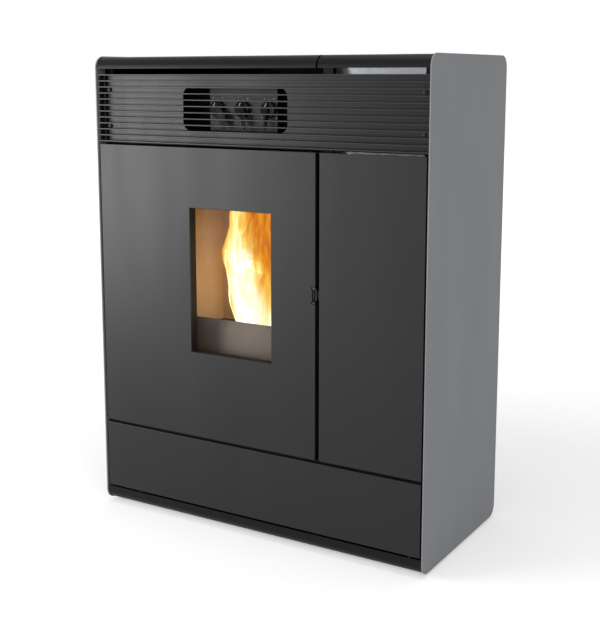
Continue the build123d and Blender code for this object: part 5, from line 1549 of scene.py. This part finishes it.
@dataclass
class FireDoor(SubAssembly):
    """Glazed door with its pressed frame, seals, clips, pins and latch."""

    rope_radius: float = 5.8 * MM
    strand_radius: float = 3.0 * MM
    strands: int = 3
    turns: int = 66
    steps: int = 12
    channel: float = 6.8 * MM
    corner: float = 30.0 * MM
    corner_handle: float = 0.5523
    straight_handle: float = 0.33
    margin_x: float = 69.0 * MM
    margin_z: float = 30.0 * MM
    overlap: float = 14.0 * MM
    gasket_width: float = 10.0 * MM
    gasket_height: float = 1.5 * MM
    clip_sheet: float = 3.0 * MM
    clip_reach: float = 3.5 * MM
    screw_radius: float = 3.8 * MM
    screw_height: float = 2.2 * MM

    def coats(self) -> dict[str, Coat]:
        """Returns the finish of each node of the door."""
        return {
            "door_skin": Coat.FRONT,
            "door_frame": Coat.HEATPROOF,
            "door_glass": Coat.GLASS,
            "glass_clips": Coat.ZINC,
            "door_hinge_pins": Coat.ZINC,
            "door_latch": Coat.SCREW,
            "door_brackets_and_catch": Coat.GALVANISED,
        }

    def window(self) -> tuple[float, float, float, float]:
        """Returns the left, right, bottom and top of the window in the door."""
        low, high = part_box("door_glass")
        over = self.overlap
        return low.x + over, high.x - over, low.z + over, high.z - over

    def build(self) -> None:
        """Models the twisted rope, the flat gasket and the clip screws."""
        self.rope().settle(self.shop, Coat.ROPE, "door", "door_seals")
        self.gasket().settle(self.shop, Coat.ROPE, "door", "door_seals")
        self.clip_screws()

    def rope_line(self) -> bpy.types.Object:
        """Draws the rope's middle line, a rounded rectangle round the window.

        Returns:
            A closed curve.
        """
        left, right, bottom, top = self.window()
        left, right = left - self.margin_x, right + self.margin_x
        bottom, top = bottom - self.margin_z, top + self.margin_z
        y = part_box("door_frame")[1].y - self.channel + self.rope_radius
        r, k = self.corner, self.corner * self.corner_handle
        share = self.straight_handle
        x0, x1, z0, z1 = left + r, right - r, bottom + r, top - r
        corners = (
            ((left, z0), (left, z0 - k), (x0, bottom), (x0 - k, bottom)),
            ((x1, bottom), (x1 + k, bottom), (right, z0), (right, z0 - k)),
            ((right, z1), (right, z1 + k), (x1, top), (x1 + k, top)),
            ((x0, top), (x0 - k, top), (left, z1), (left, z1 + k)),
        )
        curve = bpy.data.curves.new("rope_line", "CURVE")
        curve.dimensions = "3D"
        curve.resolution_u = 12
        spline = curve.splines.new("BEZIER")
        spline.bezier_points.add(7)
        spline.use_cyclic_u = True
        ends = []
        for a, a_out, b, b_in in corners:
            ends += [(a, None, a_out), (b, b_in, None)]
        count = len(ends)
        for i, (place, before, after) in enumerate(ends):
            point = spline.bezier_points[i]
            point.handle_left_type = point.handle_right_type = "FREE"
            point.co = (place[0], y, place[1])
            here, last, following = (Vector(ends[j % count][0]) for j in (i, i - 1, i + 1))
            near = last.lerp(here, 1.0 - share) if before is None else before
            far = here.lerp(following, share) if after is None else after
            point.handle_left = (near[0], y, near[1])
            point.handle_right = (far[0], y, far[1])
        line = bpy.data.objects.new("rope_line", curve)
        bpy.context.scene.collection.objects.link(line)
        return line

    def rope(self) -> Piece:
        """Twists three strands together and lays them round the door.

        Returns:
            The rope.
        """
        line = self.rope_line()
        length = line.data.splines[0].calc_length(resolution=256)
        lay = length / self.turns
        strands = []
        for i in range(self.strands):
            Piece.clear()
            angle = math.tau * i / self.strands
            reach = self.rope_radius - self.strand_radius
            bpy.ops.mesh.primitive_circle_add(
                vertices=8,
                radius=self.strand_radius,
                location=(reach * math.cos(angle), reach * math.sin(angle), 0.0),
            )
            strands.append(Piece(f"strand_{i}"))
        bundle = Piece.united("door_sealing_rope", strands)
        bundle.screwed(lay, self.steps).tidy()
        bundle.shape(
            "ARRAY",
            count=self.turns,
            use_relative_offset=False,
            use_constant_offset=True,
            constant_offset_displace=(0.0, 0.0, lay),
            use_merge_vertices=True,
            merge_threshold=1e-5,
        )
        bundle.turn(90.0, "Y")
        bundle.shape("CURVE", object=line, deform_axis="POS_X")
        bpy.data.objects.remove(line, do_unlink=True)
        bundle.edit()
        bpy.ops.mesh.remove_doubles(threshold=3e-4)
        bundle.done()
        return bundle.tidy().smooth(60.0)

    def gasket(self) -> Piece:
        """Models the flat gasket between the frame and the glass.

        Returns:
            The gasket.
        """
        low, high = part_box("door_glass")
        front, back, width = low.y - self.gasket_height, low.y, self.gasket_width
        band = Piece.block("glass_gasket", (low.x, front, low.z), (high.x, back, high.z))
        window = Piece.block(
            "gasket_window",
            (low.x + width, front - MM, low.z + width),
            (high.x - width, back + MM, high.z - width),
        )
        band.cut(window)
        return band.soften(0.4 * MM, 2).tidy().smooth()

    def clip_screws(self) -> None:
        """Models a screw on each glass clip and sets it over the plain head of the solid."""
        low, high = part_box("door_glass")
        middle, half = (low + high) / 2, (high - low) / 2
        seat = high.y + self.clip_sheet
        out_x, out_z = half.x + self.clip_reach, half.z + self.clip_reach
        places = []
        for side in (-1, 1):
            for share in (-1, 1):
                places.append((middle.x + share * 0.55 * half.x, middle.z + side * out_z))
                places.append((middle.x + side * out_x, middle.z + share * 0.5 * half.z))
        screw = CrossScrew(self.screw_radius, self.screw_height)
        first = screw.model("clip_screw").turn(180.0, "Z")
        heads = [first.copy(f"clip_screw_{i}", (x, seat, z)) for i, (x, z) in enumerate(places)]
        first.scrap()
        Piece.united("glass_clip_screws", heads).settle(self.shop, Coat.ZINC, "door")


@dataclass
class FrontPanels(SubAssembly):
    """Side front panel, ash drawer and its runners."""

    def coats(self) -> dict[str, Coat]:
        """Returns the finish of each node of the front and the drawer."""
        return {
            "side_front_panel": Coat.FRONT,
            "lower_front_panel": Coat.FRONT,
            "ash_pan": Coat.GALVANISED,
            "drawer_runners": Coat.GALVANISED,
            "drawer_rails": Coat.GALVANISED,
        }


@dataclass
class Firebox(SubAssembly):
    """Steel box, its boards, hearth, tubes and burn pot."""

    def coats(self) -> dict[str, Coat]:
        """Returns the finish of each node of the firebox."""
        return {
            "firebox_front": Coat.HEATPROOF,
            "firebox_shell": Coat.HEATPROOF,
            "ash_chute": Coat.HEATPROOF,
            "hearth_and_guard": Coat.IRON,
            "refractory_linings": Coat.BOARD,
            "flame_baffle": Coat.BOARD,
            "exchanger_tubes": Coat.HEATPROOF,
            "burn_pot": Coat.IRON,
            "igniter": Coat.BOARD,
        }


@dataclass(frozen=True)
class FlameSheet:
    """One of the large flames, its lengths in millimetres and its ruffle in metres."""

    name: str
    coat: Coat
    aside: float
    half_width: float
    half_depth: float
    tall: float
    lean: float
    ruffle: float


FLAME_SHEETS = (
    FlameSheet("flame_body", Coat.FLAME_BODY, -8.0, 92.0, 30.0, 620.0, -14.0, 0.024),
    FlameSheet("flame_veil", Coat.FLAME_OUTER, 6.0, 90.0, 40.0, 560.0, -6.0, 0.034),
    FlameSheet("flame_core", Coat.FLAME_CORE, -30.0, 46.0, 36.0, 350.0, -10.0, 0.016),
    FlameSheet("flame_right", Coat.FLAME_OUTER, 48.0, 34.0, 30.0, 460.0, 22.0, 0.030),
)


@dataclass
class Fire(SubAssembly):
    """Flames and glowing pellets in the burn pot."""

    seed: int = 11
    pellets: int = 150
    pellet_radius: float = 3.0 * MM
    pellet_half: float = 7.0 * MM
    wall: float = 6.0 * MM
    flange: float = 16.0 * MM
    bed: float = 462.0 * MM
    crown: float = 12.0 * MM
    ceiling: float = 789.0 * MM
    sunk: float = 0.22
    licks: int = 9
    lick_ruffle: float = 0.014

    def pot(self) -> tuple[Vector, Vector]:
        """Returns the corners of the space inside the burn pot."""
        low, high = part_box("burn_pot")
        edge = Vector((self.flange, self.flange, 0.0))
        return low + edge + Vector((0.0, 0.0, self.wall)), high - edge

    def build(self) -> None:
        """Models the ember bed, the pellets on it and the flames."""
        self.dice = random.Random(self.seed)
        low, high = self.pot()
        self.ember_bed(low, high)
        self.pellet_heap(low, high)
        self.flames((low + high) / 2)

    def ember_bed(self, low: Vector, high: Vector) -> None:
        """Models the heap's body as a domed cushion of embers.

        Args:
            low: Lowest corner inside the pot.
            high: Highest corner inside the pot.
        """
        top = self.bed - 6.0 * MM
        bed = Piece.block("ember_bed", (low.x, low.y, low.z), (high.x, high.y, top))
        bed.edit()
        bpy.ops.mesh.subdivide(number_cuts=20)
        bed.done()
        bed.ruffled(12.0 * MM, 7.0 * MM, 0.75)
        bed.tidy().smooth(60.0)
        bed.settle(self.shop, Coat.PELLET, "root")

    def pellet_heap(self, low: Vector, high: Vector) -> None:
        """Models one pellet and scatters copies of it over the bed.

        Args:
            low: Lowest corner inside the pot.
            high: Highest corner inside the pot.
        """
        end, roll = self.pellet_half, self.dice.uniform
        first = Piece.rod("pellet", (0.0, 0.0, -end), (0.0, 0.0, end), self.pellet_radius, 10)
        first.inset(lambda m, n: abs(n.z) > SQUARE, 0.8 * MM, 0.25 * MM)
        heap = []
        middle, half = (low + high) / 2, (high - low) / 2
        for i in range(self.pellets):
            x = roll(low.x + 10.0 * MM, high.x - 10.0 * MM)
            y = roll(low.y + 9.0 * MM, high.y - 9.0 * MM)
            inward = 1.0 - max(abs(x - middle.x) / half.x, abs(y - middle.y) / half.y)
            z = self.bed - end + self.crown * inward + roll(-1.5, 1.5) * MM
            pellet = first.copy(f"pellet_{i}")
            pellet.turn(roll(62.0, 118.0), "X").turn(roll(0.0, 180.0), "Z")
            heap.append(pellet.shift((x, y, z)))
        first.scrap()
        whole = Piece.united("glowing_pellets", heap).smooth(50.0)
        whole.settle(self.shop, Coat.PELLET, "root")

    def flames(self, middle: Vector) -> None:
        """Models the nested sheets of flame and the tongues round them.

        Args:
            middle: Middle of the pot.
        """
        foot = self.bed - 2.0 * MM
        x, y, roll = middle.x, middle.y, self.dice.uniform
        for sheet in FLAME_SHEETS:
            half = (sheet.half_width * MM, sheet.half_depth * MM)
            at = (x + sheet.aside * MM, y, foot)
            flame = self.tongue(
                sheet.name, at, half, sheet.tall * MM, sheet.lean * MM, sheet.ruffle
            )
            flame.settle(self.shop, sheet.coat, "root")
        licks = []
        for i in range(self.licks):
            at = (x + roll(-60.0, 62.0) * MM, y + roll(-26.0, 30.0) * MM, foot)
            wide = roll(10.0, 17.0) * MM
            tall, lean = roll(170.0, 330.0) * MM, roll(-40.0, 34.0) * MM
            half = (wide, wide * 0.8)
            licks.append(self.tongue(f"flame_lick_{i}", at, half, tall, lean, self.lick_ruffle))
        Piece.united("flame_licks", licks).settle(self.shop, Coat.FLAME_BODY, "root")

    def tongue(
        self, name: str, foot: Point, half: Span, tall: float, lean: float, ruffle: float
    ) -> Piece:
        """Models one flame: a long ball, dragged aside, ruffled and cut off at both ends.

        Args:
            name: Name of the flame.
            foot: Middle of its foot.
            half: Half its width and half its depth.
            tall: Its height before the baffle cuts it off.
            lean: How far its tip leans to the right.
            ruffle: Depth of the ruffles.

        Returns:
            The flame.
        """
        flame = Piece.ball(name, (0.0, 0.0, tall / 2), (half[0], half[1], tall / 2), 40, 44)
        flame.drag((0.0, 0.0, tall), (lean, 0.0, 0.0), tall * 0.85)
        sway = math.copysign(half[0] * 0.16, self.dice.uniform(-1.0, 1.0))
        flame.drag((-half[0], 0.0, tall * 0.5), (sway, 0.0, 0.0), tall * 0.2)
        flame.drag((half[0], 0.0, tall * 0.65), (-sway, half[1] * 0.4, 0.0), tall * 0.2)
        flame.shift((foot[0], foot[1], foot[2] - tall * self.sunk)).lay()
        flame.ruffled(max(0.03, half[0] * 0.8), ruffle, 0.5, 1)
        return flame.slice(foot[2], self.ceiling).smooth(80.0)


@dataclass
class HopperAndFeed(SubAssembly):
    """Hopper with its lid and grid, the feed screw and the pellet drop."""

    def coats(self) -> dict[str, Coat]:
        """Returns the finish of each node of the hopper and the feed."""
        return {
            "hopper_lid": Coat.BLACK,
            "lid_gasket": Coat.RUBBER,
            "pellet_hopper": Coat.GALVANISED,
            "hopper_grid": Coat.ZINC,
            "auger_tube": Coat.GALVANISED,
            "auger_screw": Coat.ZINC,
            "auger_motor": Coat.ALUMINIUM,
            "pellet_drop": Coat.HEATPROOF,
        }


@dataclass
class FansAndFlue(SubAssembly):
    """Smoke duct, flue fan, air pipe and the room air blower."""

    def coats(self) -> dict[str, Coat]:
        """Returns the finish of each node of the fans and pipes."""
        return {
            "smoke_duct": Coat.HEATPROOF,
            "exhaust_housing": Coat.ALUMINIUM,
            "exhaust_impeller": Coat.ZINC,
            "exhaust_motor": Coat.ALUMINIUM,
            "flue_spigot": Coat.HEATPROOF,
            "air_inlet": Coat.HEATPROOF,
            "blower_housing": Coat.GALVANISED,
            "blower_impeller": Coat.PLASTIC,
            "blower_motor": Coat.ALUMINIUM,
        }


@dataclass
class RearPanel(SubAssembly):
    """Back panel, power inlet and mains switch."""

    mark_drop: float = 5.0 * MM
    mark_depth: float = 164.85 * MM
    mark_size: float = 4.2 * MM
    mark_slope: float = 9.6

    def coats(self) -> dict[str, Coat]:
        """Returns the finish of each node of the rear."""
        return {
            # Painted shade: the back panel is painted black so that its vents, seen through the gap
            # above the door, show black as the shade inside the case would.
            "back_panel": Coat.BLACK,
            "power_inlet": Coat.PLASTIC,
            "power_rocker": Coat.PLASTIC,
        }

    def build(self) -> None:
        """Prints the off and on marks on the rocker."""
        centre = middle_of("power_rocker")
        marks = []
        for text, side in (("I", 1), ("O", -1)):
            mark = Piece.lettering(f"switch_mark_{text}", text, self.mark_size, 0.12 * MM)
            mark.turn(90.0, "X").turn(180.0, "Z").turn(side * self.mark_slope, "X")
            marks.append(mark.shift((centre.x, self.mark_depth, centre.z + side * self.mark_drop)))
        Piece.united("switch_marks", marks).settle(self.shop, Coat.INK, "switch_rocker")


@dataclass
class LevellingFeet(SubAssembly):
    """Four feet with tapered bosses, threaded studs and chamfered nuts."""

    pad_radius: float = 20.0 * MM
    pad_height: float = 4.0 * MM
    boss_height: float = 3.2 * MM
    boss_taper: Point = (0.62, 0.62, 1.0)
    stud_radius: float = 5.0 * MM
    stud_bottom: float = 7.0 * MM
    core: float = 0.86
    ridge_radius: float = 0.95 * MM
    ridge_steps: int = 20
    pitch: float = 1.5 * MM
    nut_radius: float = 9.0 * MM
    nut_span: Span = (10.0 * MM, 18.0 * MM)

    def build(self) -> None:
        """Models one foot and copies it to the four corners."""
        low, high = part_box("levelling_feet")
        first, r = self.foot(high.z), self.pad_radius
        feet = []
        for x in (low.x + r, high.x - r):
            for y in (low.y + r, high.y - r):
                feet.append(first.copy(f"foot_{len(feet)}", (x, y, 0.0)))
        first.scrap()
        whole = Piece.united("levelling_foot_set", feet)
        whole.settle(self.shop, Coat.ZINC, "root", "levelling_feet")

    def foot(self, top: float) -> Piece:
        """Models one foot at the origin.

        Args:
            top: Height of the stud's end.

        Returns:
            The foot.
        """
        pad = Piece.rod("foot", ORIGIN, (0.0, 0.0, self.pad_height), self.pad_radius)
        pad.inset(lambda m, n: n.z > SQUARE, 2.4 * MM)
        pad.pull(lambda m, n: n.z > SQUARE and m.xy.length < MM, (0.0, 0.0, self.boss_height))
        pad.resize(lambda m, n: n.z > SQUARE and m.z > self.pad_height + 2.0 * MM, self.boss_taper)
        pad.inset(lambda m, n: n.z < -SQUARE, 3.0 * MM, -1.2 * MM)
        pad.soften(0.6 * MM)
        bottom, crest = self.nut_span
        nut = Piece.rod("nut", (0.0, 0.0, bottom), (0.0, 0.0, crest), self.nut_radius, 6)
        nut.inset(lambda m, n: abs(n.z) > SQUARE, 1.2 * MM)
        nut.soften(0.7 * MM, 2)
        return pad.join(nut, self.stud(self.stud_bottom, top)).smooth()

    def stud(self, bottom: float, top: float) -> Piece:
        """Turns the threaded stud from a profile of ridges.

        Args:
            bottom: Height of its foot.
            top: Height of its end.

        Returns:
            The stud.
        """
        radius = self.stud_radius * self.core
        stud = Piece.rod("stud", (0.0, 0.0, bottom), (0.0, 0.0, top), radius, 24)
        turns = int((top - bottom) / self.pitch) - 1
        Piece.clear()
        bpy.ops.mesh.primitive_circle_add(
            vertices=3, radius=self.ridge_radius, rotation=(math.pi / 2, 0.0, 0.0)
        )
        ridge = Piece("thread")
        reach = max(v.co.x for v in ridge.thing.data.vertices)
        ridge.shift((self.stud_radius - reach, 0.0, bottom + self.pitch))
        ridge.screwed(self.pitch, self.ridge_steps, turns)
        ridge.edit(lambda m, n: False)
        bpy.ops.mesh.select_mode(type="EDGE")
        bpy.ops.mesh.select_non_manifold(extend=False)
        bpy.ops.mesh.edge_face_add()
        ridge.done().tidy()
        return stud.join(ridge)


@dataclass(frozen=True)
class Softbox:
    """A rectangular lamp, its power in watts and the rest in metres."""

    name: str
    at: Point
    aim: Point
    width: float
    height: float
    power: float


SOFTBOXES = (
    Softbox("softbox_left", (-2.65, -2.45, 1.0), (-0.2, -0.2, 0.85), 1.9, 1.9, 104.0),
    Softbox("softbox_right", (1.75, -1.75, 1.3), (0.45, -0.2, 0.85), 0.9, 1.2, 15.0),
    Softbox("softbox_top", (0.2, -0.2, 3.2), (0.0, 0.0, 0.5), 1.6, 1.2, 20.0),
)


@dataclass
class Studio:
    """Pale floor, plain soft light and the camera at the photo's angle."""

    shop: Paintshop
    paper_radius: float = 14.0
    ambient: float = 0.36
    fire_at: Point = (-0.03, -0.06, 0.60)
    fire_colour: Colour = (1.0, 0.36, 0.06)
    fire_power: float = 2.6
    eye: Point = (1.386, -2.286, 1.084)
    yaw: float = 31.08
    tilt: float = 9.25
    lens: float = 62.34
    rise: float = -0.10

    def build(self) -> None:
        """Sets up the floor, the world, the lamps and the camera."""
        self.floor()
        self.world()
        for softbox in SOFTBOXES:
            self.lamp(softbox)
        self.fire_light()
        self.camera()

    def floor(self) -> None:
        """Lays the paper under the stove."""
        Piece.clear()
        bpy.ops.mesh.primitive_circle_add(vertices=96, radius=self.paper_radius, fill_type="NGON")
        paper = Piece("studio_floor")
        paper.inset(lambda m, n: True, 10.0)
        paper.thing.data.materials.append(self.shop.material(Coat.PAPER))

    def world(self) -> None:
        """Makes the surroundings white to the eye and in reflections, and soft as a light."""
        world = bpy.data.worlds.new("studio_world")
        bpy.context.scene.world = world
        world.use_nodes = True
        tree = world.node_tree
        background = next(n for n in tree.nodes if n.type == "BACKGROUND")
        background.inputs["Color"].default_value = (1.0, 1.0, 1.0, 1.0)
        path = tree.nodes.new("ShaderNodeLightPath")
        seen = path.outputs["Is Camera Ray"]
        for name in ("Is Glossy Ray", "Is Transmission Ray"):
            either = tree.nodes.new("ShaderNodeMath")
            either.operation = "MAXIMUM"
            tree.links.new(seen, either.inputs[0])
            tree.links.new(path.outputs[name], either.inputs[1])
            seen = either.outputs[0]
        level = tree.nodes.new("ShaderNodeMapRange")
        level.inputs["To Min"].default_value = self.ambient
        level.inputs["To Max"].default_value = 1.0
        tree.links.new(seen, level.inputs["Value"])
        tree.links.new(level.outputs["Result"], background.inputs["Strength"])

    @staticmethod
    def hang(name: str, data: bpy.types.ID, at: Point) -> bpy.types.Object:
        """Adds a lamp or a camera to the scene.

        Args:
            name: Its name.
            data: The lamp's or camera's own data.
            at: Where it stands.

        Returns:
            The object.
        """
        thing = bpy.data.objects.new(name, data)
        thing.location = at
        bpy.context.scene.collection.objects.link(thing)
        return thing

    def lamp(self, box: Softbox) -> None:
        """Hangs one softbox.

        Args:
            box: Its place, size and power.
        """
        light = bpy.data.lights.new(box.name, "AREA")
        light.shape = "RECTANGLE"
        light.size, light.size_y = box.width, box.height
        light.energy = box.power
        lamp = self.hang(box.name, light, box.at)
        lamp.visible_camera = False
        run = Vector(box.aim) - Vector(box.at)
        lamp.rotation_euler = run.to_track_quat("-Z", "Y").to_euler()

    def fire_light(self) -> None:
        """Puts a warm lamp in the middle of the flames."""
        light = bpy.data.lights.new("fire_light", "POINT")
        light.color = self.fire_colour
        light.energy = self.fire_power
        light.shadow_soft_size = 0.05
        self.hang("fire_light", light, self.fire_at)

    def camera(self) -> None:
        """Sets the camera where the photo was taken from."""
        view = bpy.data.cameras.new("photo_camera")
        view.lens = self.lens
        view.shift_y = self.rise
        camera = self.hang("photo_camera", view, self.eye)
        camera.rotation_euler = (math.radians(90.0 - self.tilt), 0.0, math.radians(self.yaw))
        bpy.context.scene.camera = camera
        bpy.context.scene.view_settings.view_transform = "Standard"


def main(frame: dict) -> None:
    """Builds and dresses the stove round the loaded frame.
    """
    logging.basicConfig(level=logging.INFO, format="%(message)s")
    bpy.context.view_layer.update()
    shop = Paintshop(frame)
    Studio(shop).build()
    groups = (
        CaseAndChassis,
        Grille,
        Console,
        FireDoor,
        FrontPanels,
        Firebox,
        Fire,
        HopperAndFeed,
        FansAndFlue,
        RearPanel,
        LevellingFeet,
    )
    for group in groups:
        part = group(shop)
        part.build()
        part.dress()
        log.info("%s is done", group.__name__)


if __name__ == "__main__":
    main(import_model())
